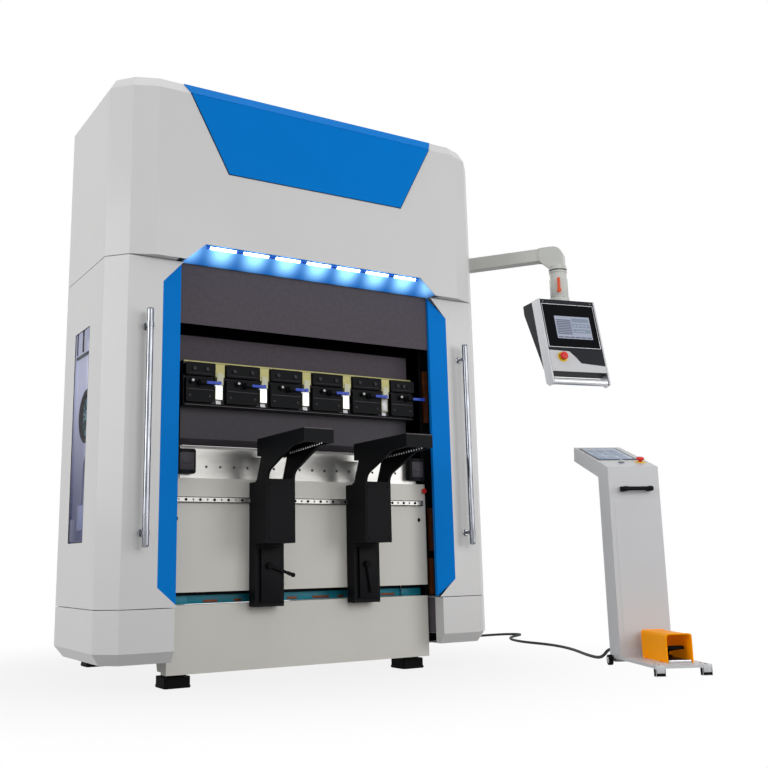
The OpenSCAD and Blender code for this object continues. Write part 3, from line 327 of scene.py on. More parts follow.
def console_piece(name, shapes, look, body="press", place=on_console):
    """A piece of the console."""
    return piece(name, shapes, look, body, place)


def head_piece(name, shapes, look, body="press"):
    """A piece on the console's sloped head."""
    return piece(name, shapes, look, body, on_head)


# --- finishes ---------------------------------------------


def fill(t, node, inputs):
    """Gives each named input of a node its value, or a link from another node's socket."""
    for key, value in inputs.items():
        if isinstance(value, bpy.types.NodeSocket):
            t.links.new(value, node.inputs[key])
        else:
            node.inputs[key].default_value = value
    return node


def add(t, kind, inputs, **settings):
    """A new node of a shader tree, with its settings and its inputs."""
    node = t.nodes.new("ShaderNode" + kind)
    for key, value in settings.items():
        setattr(node, key, value)
    return fill(t, node, inputs)


def object_point(t):
    """The point of the piece that is being shaded."""
    return add(t, "TexCoord", {}).outputs["Object"]


def object_axes(t):
    """The X, Y and Z of the point of the piece that is being shaded."""
    return add(t, "SeparateXYZ", {"Vector": object_point(t)}).outputs


def maths(t, operation, *terms):
    """The result of a Math node on its terms, each a socket or a number."""
    return add(t, "Math", dict(enumerate(terms)), operation=operation).outputs[0]


def smooth_rise(t, value, low, high, start=0.0):
    """The start below the low value, 1 above the high value, and a smooth step between them."""
    inputs = {"Value": value, "From Min": low, "From Max": high, "To Min": start}
    return add(t, "MapRange", inputs, interpolation_type="SMOOTHSTEP").outputs["Result"]


def blend(t, amount, first, second):
    """A colour from the first, at 0, to the second, at 1."""
    inputs = {0: amount, 6: (*first, 1), 7: (*second, 1)}
    return add(t, "Mix", inputs, data_type="RGBA").outputs[2]


def look(name, slot, color, rough, metal=0.0, shade=0.05, size=6.0, coat=0.0, grit=None, glow=0.0, clear=0.0,
         stretch=(1, 1, 1), spec=0.3):
    """Finish, whose slot argument is not used: its colour varies a little with soft noise, of a share and a
    size, and its surface may carry a fine grit, of a strength and a size."""
    m = bpy.data.materials.new(name)
    m.use_nodes = True
    t = m.node_tree
    s = t.nodes["Principled BSDF"]
    point = add(t, "Mapping", {"Vector": object_point(t), "Scale": stretch}).outputs["Vector"]
    soft = add(t, "TexNoise", {"Vector": point, "Scale": size, "Detail": 3.0}).outputs["Fac"]
    darker, lighter = [c * (1 - shade) for c in color], [min(1, c * (1 + shade)) for c in color]
    tint = blend(t, soft, darker, lighter)
    fill(t, s, {"Base Color": tint, "Roughness": rough, "Metallic": metal, "Specular IOR Level": spec,
                "Coat Weight": coat, "Coat Roughness": 0.15, "Transmission Weight": clear})
    if glow:
        fill(t, s, {"Emission Color": tint, "Emission Strength": glow})
    if grit:
        fine = add(t, "TexNoise", {"Vector": point, "Scale": grit[1]}).outputs["Fac"]
        bump = add(t, "Bump", {"Height": fine, "Strength": grit[0], "Distance": 0.0006})
        fill(t, s, {"Normal": bump.outputs["Normal"]})
    return m


def linear(r, g, b):
    """Screen colour from 0 to 255 to the linear value a shader takes."""
    c = np.array([r, g, b]) / 255
    return tuple(float(v) for v in np.where(c <= 0.04045, c / 12.92, ((c + 0.055) / 1.055) ** 2.4))


COVER = look("cover_coat", "cover_white", linear(219, 218, 217), 0.42, shade=0.02, coat=0.2,
             grit=(0.12, 500))
FRAME_COAT = look("frame_coat", "frame_paint", linear(216, 213, 205), 0.5, shade=0.03, coat=0.1,
                  grit=(0.12, 400))
BLUE = look("blue_coat", "blue_paint", linear(0, 126, 216), 0.45, spec=0.04)
DARK = look("dark_panel", "dark_paint", linear(84, 78, 84), 0.62, shade=0.2, size=60, grit=(0.5, 900),
            spec=0.12)
BLACK = look("black_coat", "black_metal", linear(13, 14, 16), 0.5, shade=0.15, grit=(0.3, 700), spec=0.07)
# Near-black without shine, for sheets put where there is only shade: painted shade.
PAINTED_SHADE = look("painted_shade_black", "black_metal", (0.0012, 0.0012, 0.0015), 0.9, shade=0.1, spec=0.0)
ARM_COAT = look("arm_coat", "arm_paint", linear(205, 206, 200), 0.45, shade=0.03, coat=0.15)
CONSOLE_COAT = look("console_coat", "console_paint", linear(205, 205, 207), 0.45, shade=0.02, coat=0.15,
                    grit=(0.1, 500))
# Safety orange with a faint glow in its own colour: painted light that brightens the guard.
ORANGE = look("orange_coat_painted_glow", "orange_paint", linear(255, 160, 0), 0.4, shade=0.03, spec=0.04, glow=0.1)
STEEL = look("ground_steel", "steel", linear(158, 157, 154), 0.3, metal=0.9, shade=0.3, size=7,
             stretch=(1, 1, 3))
DARK_STEEL = look("blackened_steel", "dark_steel", linear(50, 47, 52), 0.45, metal=0.2, shade=0.2, size=40,
                  spec=0.2)
# Chrome whose colour varies strongly in blotches stretched along Z: painted reflections.
CHROME = look("chrome", "chrome", linear(132, 134, 140), 0.12, metal=1.0, shade=0.85, size=9,
              stretch=(6, 6, 1))
BRASS = look("brass", "brass", linear(176, 170, 112), 0.45, metal=0.2, shade=0.15, size=30)
CHARCOAL = look("charcoal_shell", "charcoal", linear(36, 38, 43), 0.5, shade=0.1, grit=(0.25, 800), spec=0.1)
SILVER = look("silver_trim", "steel", linear(196, 197, 200), 0.32, metal=0.8, stretch=(1, 1, 6))
ARM_FACE = look("arm_face", "black_metal", linear(15, 15, 18), 0.45, shade=0.15, grit=(0.3, 700), spec=0.06)
LAMP = look("lamp_diffuser", "lamp", (0.92, 0.97, 1.0), 0.3, shade=0.01, glow=6.0)
SCREEN = look("dark_glass", "screen", linear(10, 11, 14), 0.15, shade=0.1, spec=0.05)
RED = look("red_cap", "red_plastic", linear(214, 36, 28), 0.35, coat=0.2)
YELLOW = look("yellow_ring", "brass", linear(240, 208, 40), 0.4)
LEVER_BLUE = look("lever_blue", "lever_blue", linear(28, 70, 190), 0.4, shade=0.08, coat=0.2)
RUBBER = look("rubber", "rubber", linear(14, 14, 14), 0.75, shade=0.15, grit=(0.3, 500), spec=0.08)
SHEATH = look("cable_sheath", "cable", linear(54, 56, 58), 0.6, shade=0.12, size=40, spec=0.15)
PANE = look("window_pane", "glass", linear(226, 228, 238), 0.0, shade=0.01, clear=1.0, spec=0.1)
PANE.node_tree.nodes["Principled BSDF"].inputs["IOR"].default_value = 1.04
# Dark blue-black for the plate behind the header: painted shadow gap.
SHADOW_GAP = look("painted_shadow_gap", "black_metal", linear(20, 32, 52), 0.6)
# Blue for the lamps' sockets, with a faint glow: painted light from the lamps.
LAMP_CLIP = look("lamp_clip_painted_glow", "blue_paint", linear(40, 100, 225), 0.4, glow=0.35)
TEAL = look("teal_fan", "light_blue", linear(38, 120, 128), 0.35, shade=0.12, size=30, coat=0.3)
DEEP_GREEN = look("deep_green", "dark_paint", linear(22, 66, 52), 0.5)
GREY_HOSE = look("grey_hose", "dark_paint", linear(120, 124, 140), 0.5, shade=0.1, size=30)
COPPER = look("copper_strip", "dark_steel", linear(118, 62, 30), 0.5, metal=0.3, shade=0.3, size=40)
TRAY = look("teal_tray", "light_blue", linear(20, 128, 150), 0.4, shade=0.3, size=20)
KNOB = look("grey_knob", "steel", linear(150, 150, 152), 0.35, metal=0.6, shade=0.1)
# Lighter grey for the ledge's edge line and the arms' strips.
LEDGE = look("pale_edge_line", "dark_steel", linear(66, 62, 63), 0.4, metal=0.5, shade=0.2, size=60)
NECK = look("pale_neck", "brass", linear(206, 206, 176), 0.35, shade=0.06, size=40)
# Glowing near-white for the clamp columns: painted highlight of polished steel.
COLUMN_HIGHLIGHT = look("painted_highlight_column", "lamp", (0.9, 0.92, 1.0), 0.4, shade=0.02, glow=0.9)
PAGE = look("display_page", "screen", linear(150, 156, 172), 0.35, shade=0.06, size=20, glow=0.25)
PAGE_DARK = look("display_text", "screen", linear(96, 102, 118), 0.35, shade=0.1, glow=0.15)
PAGE_BLUE = look("display_blue", "screen", linear(122, 134, 150), 0.35, glow=0.2)
LEVER_RED = look("lever_red", "red_plastic", linear(222, 84, 40), 0.4, coat=0.2)
BEZEL = look("console_bezel", "dark_paint", linear(52, 56, 64), 0.3, coat=0.4)
SKY = look("console_page", "screen", linear(108, 140, 182), 0.25, shade=0.12, size=10, glow=0.25, coat=0.6)

LOOKS = {
    "cover_white": COVER, "frame_paint": FRAME_COAT, "blue_paint": BLUE, "light_blue": BLUE,
    "dark_paint": DARK, "black_metal": BLACK, "arm_paint": ARM_COAT, "console_paint": CONSOLE_COAT,
    "orange_paint": ORANGE, "steel": STEEL, "dark_steel": DARK_STEEL, "chrome": CHROME, "brass": BRASS,
    "charcoal": CHARCOAL, "lamp": LAMP, "screen": SCREEN, "glass": PANE, "lever_blue": LEVER_BLUE,
    "red_plastic": RED, "rubber": RUBBER, "cable": SHEATH,
}


def paint(name, finish):
    """Gives a CAD node one finish all over."""
    slots = nodes[name].data.materials
    slots.clear()
    slots.append(finish)


for part in frame["record"]["subparts"]:
    paint(part["node"], LOOKS[part["material_slot"]])


# --- camera, light and floor ------------------------------

EYE = [-1973, -3562, 464]
YAW, PITCH, ROLL = (math.radians(a) for a in (30.91, 11.57, -1.02))
LENS, SENSOR = 46.18125, 36.0
SHIFT = (0.0453125, -0.0326823)
LAMPS = {  # place, target and size in metres of the row frame, and watts
    "key": ((-6.4, -0.9, 2.4), (-0.2, -0.2, 1.1), 3.0, 155),
    "front": ((0.4, -6.2, 2.4), (0.1, -0.6, 1.1), 3.0, 86),
    "fill": ((3.6, -5.0, 1.5), (1.0, -0.8, 0.7), 2.6, 66),
    "top": ((0.0, -1.0, 5.6), (0.0, -0.3, 0.0), 4.0, 46),
    "back": ((1.0, 6.0, 4.0), (0.0, 0.0, 1.0), 4.0, 60),
}
WORLD_LEVEL = 0.38
FLOOR_HALF = 30.0
FADE = (0.6, 2.2, 0.86)  # metres out where the floor's fade to white starts and ends, and its first share


def stand(name, data, right, up, back, at):
    """Puts a camera or a lamp at a place, with its X, Y and Z directions along right, up and back."""
    obj = bpy.data.objects.new(name, data)
    scene.collection.objects.link(obj)
    rows = np.column_stack([right, up, back, at])
    obj.matrix_world = Matrix(np.vstack([rows, [0, 0, 0, 1]]).tolist())
    return obj


def set_camera():
    """Camera from its yaw to the right of +Y, its pitch upwards and its roll."""
    ahead = np.array([math.sin(YAW) * math.cos(PITCH), math.cos(YAW) * math.cos(PITCH), math.sin(PITCH)])
    right = np.array([math.cos(YAW), -math.sin(YAW), 0.0])
    up = np.cross(right, ahead)
    c, s = math.cos(ROLL), math.sin(ROLL)
    data = bpy.data.cameras.new("camera")
    data.sensor_width = SENSOR
    data.lens = LENS
    data.shift_x, data.shift_y = SHIFT
    data.clip_end = 100
    scene.camera = stand("camera", data, c * right + s * up, -s * right + c * up, -ahead, on_press(EYE))


def lamp(name, at, target, size, watts):
    """Square soft light at a place, facing a target."""
    data = bpy.data.lights.new(name, "AREA")
    data.size = size
    data.energy = watts
    back = np.subtract(at, target)
    back /= np.linalg.norm(back)
    right = np.cross([0, 0, 1], back)
    right /= np.linalg.norm(right)
    stand(name, data, right, np.cross(back, right), back, at)


def seen_rays(t):
    """1 for a camera, mirror or glass ray, else 0."""
    rays = add(t, "LightPath", {}).outputs
    shiny = maths(t, "MAXIMUM", rays["Is Camera Ray"], rays["Is Glossy Ray"])
    return maths(t, "MAXIMUM", shiny, rays["Is Transmission Ray"])


def set_world(level):
    """Even pale world that a camera, a mirror and glass see as white."""
    world = bpy.data.worlds.new("studio")
    scene.world = world
    world.use_nodes = True
    t = world.node_tree
    t.nodes.clear()
    even = add(t, "Background", {"Color": (0.95, 0.97, 1.0, 1), "Strength": level})
    white = add(t, "Background", {"Color": (1, 1, 1, 1), "Strength": 1.0})
    mix = add(t, "MixShader", {0: seen_rays(t), 1: even.outputs[0], 2: white.outputs[0]})
    add(t, "OutputWorld", {"Surface": mix.outputs[0]})


def floor_finish():
    """Pale floor; for the camera, a mirror and glass it fades to white away from the machine's feet."""
    m = look("floor", None, (0.24, 0.24, 0.24), 0.8, shade=0.01, spec=0.0)
    t = m.node_tree
    reach = add(t, "VectorMath", {0: object_point(t)}, operation="LENGTH").outputs["Value"]
    amount = maths(t, "MULTIPLY", smooth_rise(t, reach, *FADE), seen_rays(t))
    white = add(t, "Emission", {})
    mix = add(t, "MixShader", {0: amount, 1: t.nodes["Principled BSDF"].outputs[0], 2: white.outputs[0]})
    fill(t, t.nodes["Material Output"], {"Surface": mix.outputs[0]})
    return m


def set_floor(e):
    """Flat pale floor far past the machine."""
    data = bpy.data.meshes.new("floor")
    data.from_pydata([(-e, -e, 0), (e, -e, 0), (e, e, 0), (-e, e, 0)], [], [(0, 1, 2, 3)])
    data.materials.append(floor_finish())
    obj = bpy.data.objects.new("floor", data)
    scene.collection.objects.link(obj)


set_camera()
set_world(WORLD_LEVEL)
set_floor(FLOOR_HALF)
for name, setting in LAMPS.items():
    lamp(name, *setting)
scene.view_settings.view_transform = "Standard"


# --- edges of the CAD nodes -------------------------------

SHARP = math.radians(40)
EDGES = {  # bevel of a node's sharp edges, 0.6 mm where it isn't named
    "hood": 2.5, "leg_covers": 2.0, "left_door": 0.9, "right_door": 0.9, "base_plate": 2.0, "bed_plate": 2.0,
    "table_beam": 1.2, "levelling_feet": 3.0, "tool_holder": 1.5, "clamp_blocks": 1.2, "end_blocks": 1.5,
    "pendant_arm": 7.0, "console_column": 0.8, "console_base": 1.0, "pendant_case": 2.0, "die": 0.8,
    "left_support_arm": 1.2, "right_support_arm": 1.2, "cable": 0, "left_window": 0, "right_window": 0,
}


def soften(name, width):
    """Rounds a CAD node's sharp edges with two bevel faces and shades its round faces smooth."""
    obj = nodes[name]
    obj.data.shade_smooth()
    obj.data.set_sharp_from_angle(angle=SHARP)
    if width:
        bevel = obj.modifiers.new("edges", "BEVEL")
        bevel.width = width / 1000
        bevel.segments = 2
        bevel.limit_method = "ANGLE"
        bevel.angle_limit = SHARP
        bevel.harden_normals = True


for name in nodes:
    soften(name, EDGES.get(name, 0.6))


# --- cable ------------------------------------------------

def lay_cable():
    """Control cable from the right leg to the console: a tube on the route, in metres in the row frame."""
    across = np.array([math.cos(CONSOLE_YAW), math.sin(CONSOLE_YAW), 0])
    back = np.array([-math.sin(CONSOLE_YAW), math.cos(CONSOLE_YAW), 0])
    leg = np.array([760.0, 614.0, 180.0])
    end = CONSOLE_AT + 42 * across + 140 * back + [0, 0, 64]
    drop = leg + [[0, 0, 0], [0, 40, -4], [2, 80, -22], [8, 116, -56], [18, 146, -98], [32, 178, -138]]
    floor = [(846, 880), (900, 930), (1010, 1010), (1160, 1095), (1330, 1180), (1510, 1250), (1690, 1300),
             (1850, 1325), (1975, 1325), (2050, 1300), (2080, 1255), (2050, 1212), (1985, 1170),
             (1900, 1110), (1820, 1020), (1765, 910), (1735, 790), (1728, 670), (1712, 550), (1675, 430),
             (1622, 310), (1560, 195), (1498, 90), (1450, 0), (1422, -70)]
    flat = np.column_stack([floor, np.full(len(floor), 7.2)])
    rise = [(1402, -120, 14), (1386, -160, 30), (1372, -196, 49), end + 40 * back - [0, 0, 3], end]
    route = np.vstack([drop, [[812, 836, 20]], flat, rise])
    line = on_press(refined(route, 2))
    cable = piece("control_cable", [tube(route, 6.95, n=16)], SHEATH, stands_for=["cable"])


lay_cable()


# --- hood, header and lamps -------------------------------

LAMP_COUNT = 7
LAMP_ROW = 516.0  # half the length of the row of lamps
LAMP_PITCH = 2 * LAMP_ROW / LAMP_COUNT
CLIP_Y = (-6.0, 0.5)  # how far a lamp's socket stands out of the panel
GLOW_HEIGHT = (1.630, 1.700)  # metres up, from where the panel starts to glow to its full glow


def painted_lamp_light_finish():
    """Blue finish with painted light from the lamps: a glow towards its top, a rise over Z times a wave over
    X, one crest at each lamp.
    """
    m = look("blue_painted_lamp_light", "light_blue", linear(10, 128, 238), 0.35, shade=0.04, spec=0.15)
    t = m.node_tree
    axes = object_axes(t)
    wave = maths(t, "COSINE", maths(t, "MULTIPLY", axes["X"], 2 * math.pi / (LAMP_PITCH / 1000)))
    crest = maths(t, "MULTIPLY_ADD", wave, 0.42, 0.58)
    power = maths(t, "MULTIPLY", maths(t, "MULTIPLY", crest, smooth_rise(t, axes["Z"], *GLOW_HEIGHT)), 1.7)
    glow = {"Emission Strength": power, "Emission Color": (0.33, 0.7, 1.0, 1)}
    fill(t, t.nodes["Principled BSDF"], glow)
    return m


def hood_details():
    """Dark plate behind the header, a painted shadow gap round it, and the lamps' sockets, wires and
    channel.
    """
    gap_outline, front = [(-424.5, 2028), (424.5, 2028), (596, 2351), (-596, 2351)], reach("hood", "y")[0]
    piece("header_shadow_gap", [plate(gap_outline, "y", front - 0.9, front + 1.5, 0.3)], SHADOW_GAP)
    joints = np.arange(1 - LAMP_COUNT / 2, LAMP_COUNT / 2) * LAMP_PITCH
    sockets = [slab(span(x, 15), CLIP_Y, (-16, -7), 2.0) for x in joints]
    ends = both([slab((LAMP_ROW - 16, LAMP_ROW - 2), CLIP_Y, (-17, -6), 2.0)])
    piece("lamp_sockets", sockets + ends, LAMP_CLIP, place=on_slope)
    wires = [slab(span(x, 8), (-7.0, -5.5), (-13, -10), 0.6) for x in joints]
    piece("lamp_wires", wires, BLACK, place=on_slope)
    channel = slab(span(0, LAMP_ROW + 3), (-4.5, 0.5), (-5.5, -1.0), 1.0)
    piece("lamp_channel", [channel], BLUE, place=on_slope)


paint("light_bar", painted_lamp_light_finish())
hood_details()


# --- covers and windows -----------------------------------

WALL = 840.0  # from the middle to the wall behind a side window
WALL_Y, WALL_Z = (300, 598), (520, 1520)
WIRE_X = -846.0  # the wires and hoses stand just outside the wall
FAN_AT, FAN_SPOKES = (-WALL, 393, 1060), 12
SEAL_INSET, SEAL_WIDTH = 10.5, 3  # from the pane's edge to the seal, and the seal's width
DOOR_X = reach("right_door", "x")[1]
HANDLE_X, HANDLE_Y = middle("right_handle", "x"), -48
HANDLE_ENDS, HANDLE_POSTS = reach("right_handle", "z", 6), (577, 1359)


def painted_shade_by_height(name, low, high, z0, z1):
    """Finish with painted shade and light: from one colour to another between two heights in metres, and a
    painted glow in the same colour.
    """
    m = look(name, "frame_paint", low, 0.5, shade=0.03)
    t = m.node_tree
    color = blend(t, smooth_rise(t, object_axes(t)["Z"], z0, z1), low, high)
    glow = {"Base Color": color, "Emission Color": color, "Emission Strength": 0.4}
    fill(t, t.nodes["Principled BSDF"], glow)
    return m


def window_wall():
    """Wall behind a side window, with its rear edge, a rail and two boxes."""
    walls = [slab((WALL - 4, WALL), WALL_Y, WALL_Z, 1.0), slab((WALL - 1, 856), (599.4, 602.4), WALL_Z, 1.0)]
    # The wall is darker towards the bottom and glows: painted shade and light inside the cabinet.
    wall = painted_shade_by_height("cabinet_wall_painted_shade", linear(98, 100, 132), linear(212, 214, 228), 0.62, 1.27)
    piece("side_panels", both(walls), wall)
    piece("rail_lines", both([slab((WALL, WALL + 7), WALL_Y, (1326, 1338), 1.5)]), DEEP_GREEN)
    boxes = [slab((WALL, 858), (330, 470), (600, 700), 3), slab((WALL, 854), (490, 580), (560, 650), 3)]
    # The boxes are darker towards the bottom and glow: painted shade and light.
    grey = painted_shade_by_height("box_grey_painted_shade", linear(96, 100, 130), linear(120, 124, 150), 0.55, 0.72)
    piece("junction_boxes", both(boxes), grey)


def window_fan():
    """Fan on the wall: a turned rim, a turned face and straight spokes from one radius to another."""
    rim = [(112, 0), (112, -14), (104, -16), (96, -14), (90, -4), (90, 0)]
    face = [(90.5, 0), (90.5, -5), (60, -9), (30, -9), (26, -13), (1, -13)]
    piece("fan_rims", both([turned(rim, FAN_AT, "x", 64, hollow=True)]), BLACK)
    piece("fan_faces", both([turned(face, FAN_AT, "x", 64)]), TEAL)
    a = np.linspace(0, 2 * math.pi, FAN_SPOKES, endpoint=False)
    way = np.stack([0 * a, np.cos(a), np.sin(a)], 1)
    hub = np.add(FAN_AT, [-12, 0, 0])
    piece("fan_guards", both([side_tube([hub + 24 * w, hub + 92 * w], 2.2) for w in way]), BLACK)


def window_wires():
    """Bent wire frame over the rail, a bent wire in it, and three hoses below."""
    outline = [(588, 1345), (588, 1440), (560, 1486), (420, 1500), (400, 1486), (400, 1345)]
    inner = [(500, 1345), (500, 1430), (486, 1450)]
    wires = [side_tube([(WIRE_X, *q) for q in outline], 2.5),
             side_tube([(WIRE_X - 1, *q) for q in inner], 3.5, fine=1)]
    piece("wiring_frames", both(wires), BLACK)
    hoses = [side_tube([(WIRE_X, 330 + 34 * k, 960 - 30 * k), (WIRE_X - 6, 350 + 30 * k, 860),
                        (WIRE_X - 2, 372 + 34 * k, 740), (WIRE_X, 350 + 52 * k, 600)], 5, n=10, fine=3)
             for k in range(3)]
    piece("side_hoses", both(hoses), GREY_HOSE)


def window_seal():
    """Rubber line round a side window, on its door's outer face."""
    y, z = (reach("right_window", axis, SEAL_INSET) for axis in "yz")
    return border((DOOR_X - 1.8, DOOR_X + 0.35), y, z, SEAL_WIDTH, 0.8, thin="x")


def handle_details():
    """Turned end caps, collars and base flanges of a door handle."""
    cap = np.array([(12.9, 0), (12.9, 6), (11.5, 9), (7, 11), (0.3, 11.4)])
    flange = [(15, 0), (15, -2.5), (12, -4), (8.5, -4.5), (7.2, -7), (0.3, -7)]
    shapes = [turned(cap * [1, out], (HANDLE_X, HANDLE_Y, z), n=40) for z, out in zip(HANDLE_ENDS, (-1, 1))]
    for z in HANDLE_POSTS:
        shapes.append(turned(flange, (HANDLE_X, 0, z), "y"))
        shapes.append(ring((HANDLE_X, HANDLE_Y, z), 12.3, 14.2, -9, 9, n=40))
        shapes.append(turned([(8.5, 0), (8.5, 6), (0.3, 6)], (HANDLE_X, HANDLE_Y + 10, z), "y", 24))
    return shapes


window_wall()
window_fan()
window_wires()
for side, word in ((-1, "left"), (1, "right")):
    piece(word + "_window_seal", for_side(side, window_seal()), RUBBER, word + "_door")
    piece(word + "_handle_ends", for_side(side, handle_details()), CHROME, word + "_door")


# --- inside the opening -----------------------------------

LEG_X = reach("base_plate", "x")[1] + 1.5  # the painted shade sheets' inner edge, just clear of the base
SHADE_SHEET_Y, DUCT_Y = (120, 123), (102, 119.5)
TRAY_X, TRAY_END_X, TRAY_END_Y, TRAY_EDGE_Z = span(0, 505), (500, 603.5), (157.4, 159.8), (309, 341)
HOLE_R = 8.9


def opening_linings():
    """Black sheets beside the opening as painted shade, duct strips on the right one, near-black sheets in
    the throat as painted shade, and dark sheets on the legs' inner walls as painted shade.
    """
    # Black sheets beside the opening: painted shade of the dark inside.
    shade_sheets = [slab((LEG_X, 720), SHADE_SHEET_Y, (306, 1640), 1.0), slab((LEG_X, 700), SHADE_SHEET_Y, (112, 300), 1.0)]
    piece("side_painted_shade", both(shade_sheets), BLACK)
    ducts = [((622, 642), (312, 470)), ((618, 640), (1075, 1315)), ((626, 644), (500, 690))]
    piece("duct_strips", [slab(x, DUCT_Y, z, 2) for x, z in ducts], COPPER)
    # Near-black sheets on the throat's walls and over its filler plate: painted shade.
    walls = [slab((604.6, 607.4), (123.2, 232), (306, 1640), 0.8),
             slab((556.5, 597.5), (209.2, 210.9), (932, 1456), 0.5)]
    piece("throat_painted_shade", both(walls), PAINTED_SHADE)
    # Dark sheets over the leg covers' inner walls: painted shade.
    piece("leg_painted_shade", both([slab((610.4, 611.9), (60, 560), (150, 300), 0.5)]), DARK)


def bed_details():
    """Tray under the bed with its bright edge and labels, the bed's knob, and black discs in its two holes
    as painted shade.
    """
    ends = both([slab(TRAY_END_X, TRAY_END_Y, (340, 354), 0.8)])
    piece("bed_tray", [slab(TRAY_X, (170, 174), (340, 362), 1.0)] + ends, BLACK)
    ends = both([slab(TRAY_END_X, TRAY_END_Y, TRAY_EDGE_Z, 0.8)])
    piece("tray_edge", [slab(TRAY_X, (168, 172), TRAY_EDGE_Z, 1.0)] + ends, TRAY)
    labels = ((-430, 60), (-300, 34), (-60, 46), (60, 80), (180, 30), (400, 70))
    piece("tray_labels", [slab((x, x + w), (166.5, 169), (313, 323), 0.8) for x, w in labels], COPPER)
    knob = [(5, 0), (5, -5), (11, -7), (12, -12), (9, -16), (0.3, -17)]
    piece("bed_knob", [turned(knob, (594, 100.5, 764), "y", 32)], RED)
    # Black discs deep in the bed's two holes: painted shade.
    floor = [(HOLE_R, 0), (HOLE_R, 3), (0.3, 3)]
    holes = [turned(floor, (x, 108, 636), "y", 32) for x in (-575, 568)]
    piece("bed_hole_painted_shade", holes, BLACK)


opening_linings()
bed_details()


# --- ram and clamps ---------------------------------------

RAM_HALF = reach("clamp_blocks", "x")[1]
RAM_FACE = reach("tool_holder", "y")[0] + 0.5
CLAMP_COUNT, CLAMP_PITCH, CLAMP_HALF = 6, 200, 75
CLAMPS = [(i - (CLAMP_COUNT - 1) / 2) * CLAMP_PITCH for i in range(CLAMP_COUNT)]
COLUMNS = [x + CLAMP_PITCH / 2 for x in CLAMPS[:-1]]
CLAMP_FRONT = reach("clamp_blocks", "y")[0]
CLAMP_LEVER_Z = middle("clamp_lever_1", "z")
SHORT_CLAMP = 60  # a clamp that reaches less than this to the right has its right screw near its middle


def clamp_details():
    """Screws, pins, knobs and grooves of each clamp, which is cut off where the ram ends, and a small grey
    metal cap on each knob as a painted highlight.
    """
    screws, pins, knobs, highlight_caps, grooves = [], [], [], [], []
    knob = [(6, 0), (6, -6), (10, -7), (10.5, -13), (7, -15.5), (0.3, -16)]
    highlight_cap = [(5.5, 0), (5.5, -2), (3, -3), (0.3, -3)]
    for x in CLAMPS:
        left, right = max(-CLAMP_HALF, -RAM_HALF - x), min(CLAMP_HALF, RAM_HALF - x)
        for dx in (left + 35, right - 35 if right > SHORT_CLAMP else -8):
            screws.append(socket_screw((x + dx, CLAMP_FRONT + 0.2, 1231), 7.6, 4))
        for dx in (left + 20, right - 20):
            pins.append(socket_screw((x + dx, 88.2, 1122), 5, 2.5))
        knobs.append(turned(knob, (x - 24, 88.5, 1180), "y"))
        # Grey metal cap on the black knob: painted highlight.
        highlight_caps.append(turned(highlight_cap, (x - 24, 72.8, 1181), "y", 20))
        grooves.append(slab((x + left + 7, x + right - 7), (86.6, 89), (1146, 1150), 0.8))
        grooves.append(slab((x + left + 12, x + right - 12), (80.6, 83), (1212, 1214), 0.6))
    ram_piece("clamp_screws", screws + pins, DARK_STEEL)
    ram_piece("clamp_knobs", knobs, BLACK)
    ram_piece("knob_highlight_caps", highlight_caps, KNOB)
    ram_piece("clamp_grooves", grooves, DARK_STEEL)


def column_details():
    """Columns between the clamps, all but the last glowing near-white as a painted highlight, the last one
    grey, with their necks and feet.
    """
    columns = [slab(span(x, 15), (99, RAM_FACE), (1114, 1173), 1.5) for x in COLUMNS]
    ram_piece("clamp_columns", columns[:-1], COLUMN_HIGHLIGHT)
    ram_piece("dim_column", columns[-1:], KNOB)
    ram_piece("column_necks", [slab(span(x, 14), (87, RAM_FACE), (1171, 1222), 1.5) for x in COLUMNS], NECK)
    ram_piece("column_feet", [slab(span(x, 12), (106, RAM_FACE), (1092, 1112), 1.5) for x in COLUMNS], KNOB)


def ram_details():
    """Pale strip under the ram, the ledge under the clamps with a lighter line along its edge, and a
    near-black sheet over the upper ram: painted shadow under the upper cover.
    """
    ledge, front = span(0, RAM_HALF - 1), reach("ram", "y")[0]
    ram_piece("ram_strip", [slab(span(0, RAM_HALF), (110, RAM_FACE), (1262, 1268.5), 1.0)], BRASS)
    ram_piece("clamp_ledge", [slab(ledge, (97, RAM_FACE), (1083.5, 1094), 1.2)], BLACK)
    ram_piece("ledge_line", [slab(ledge, (95.8, 97.4), (1084.5, 1087.5), 0.5)], LEDGE)
    # Near-black sheet over the ram above its lit strip: painted shadow cast by the upper cover.
    upper = slab(reach("ram", "x"), (front - 0.8, front + 1), (1379, reach("ram", "z")[1] - 1), 0.8)
    ram_piece("ram_upper_painted_shadow", [upper], PAINTED_SHADE)


def lever_details(i):
    """Turned blue grip of a clamp lever, and the dark cap and boss over its hub."""
    x, body = CLAMPS[i] + 10, "clamp_lever_%d" % (i + 1)
    grip = turned([(6, 0), (6.6, 2), (6.6, 44), (5, 50), (0.3, 52)], (x + 22, 72, CLAMP_LEVER_Z), "x", 20)
    cap = [(13, 20.8), (13, 7), (10, 4), (10, -9), (6, -12), (0.3, -12)]
    hub = [turned(cap, (x, 67, CLAMP_LEVER_Z), "y", 24),
           slab((x + 8, x + 24), (64.6, 76.4), span(CLAMP_LEVER_Z, 6.6), 1.5)]
    piece("lever_grip_%d" % (i + 1), [grip], LEVER_BLUE, body)
    piece("lever_cap_%d" % (i + 1), hub, BLACK, body)


clamp_details()
column_details()
ram_details()
for i in range(CLAMP_COUNT):
    lever_details(i)


# --- table ------------------------------------------------

SCREW_PITCH = 60
BEAM_Y, BED_Y, RAIL_Y = (reach(name, "y")[0] for name in ("table_beam", "bed_plate", "front_rail"))
BLOCK_X, BLOCK_Y = reach("end_blocks", "x")[1] - 38, reach("end_blocks", "y")[0]
BLOCK_Z = middle("end_blocks", "z")


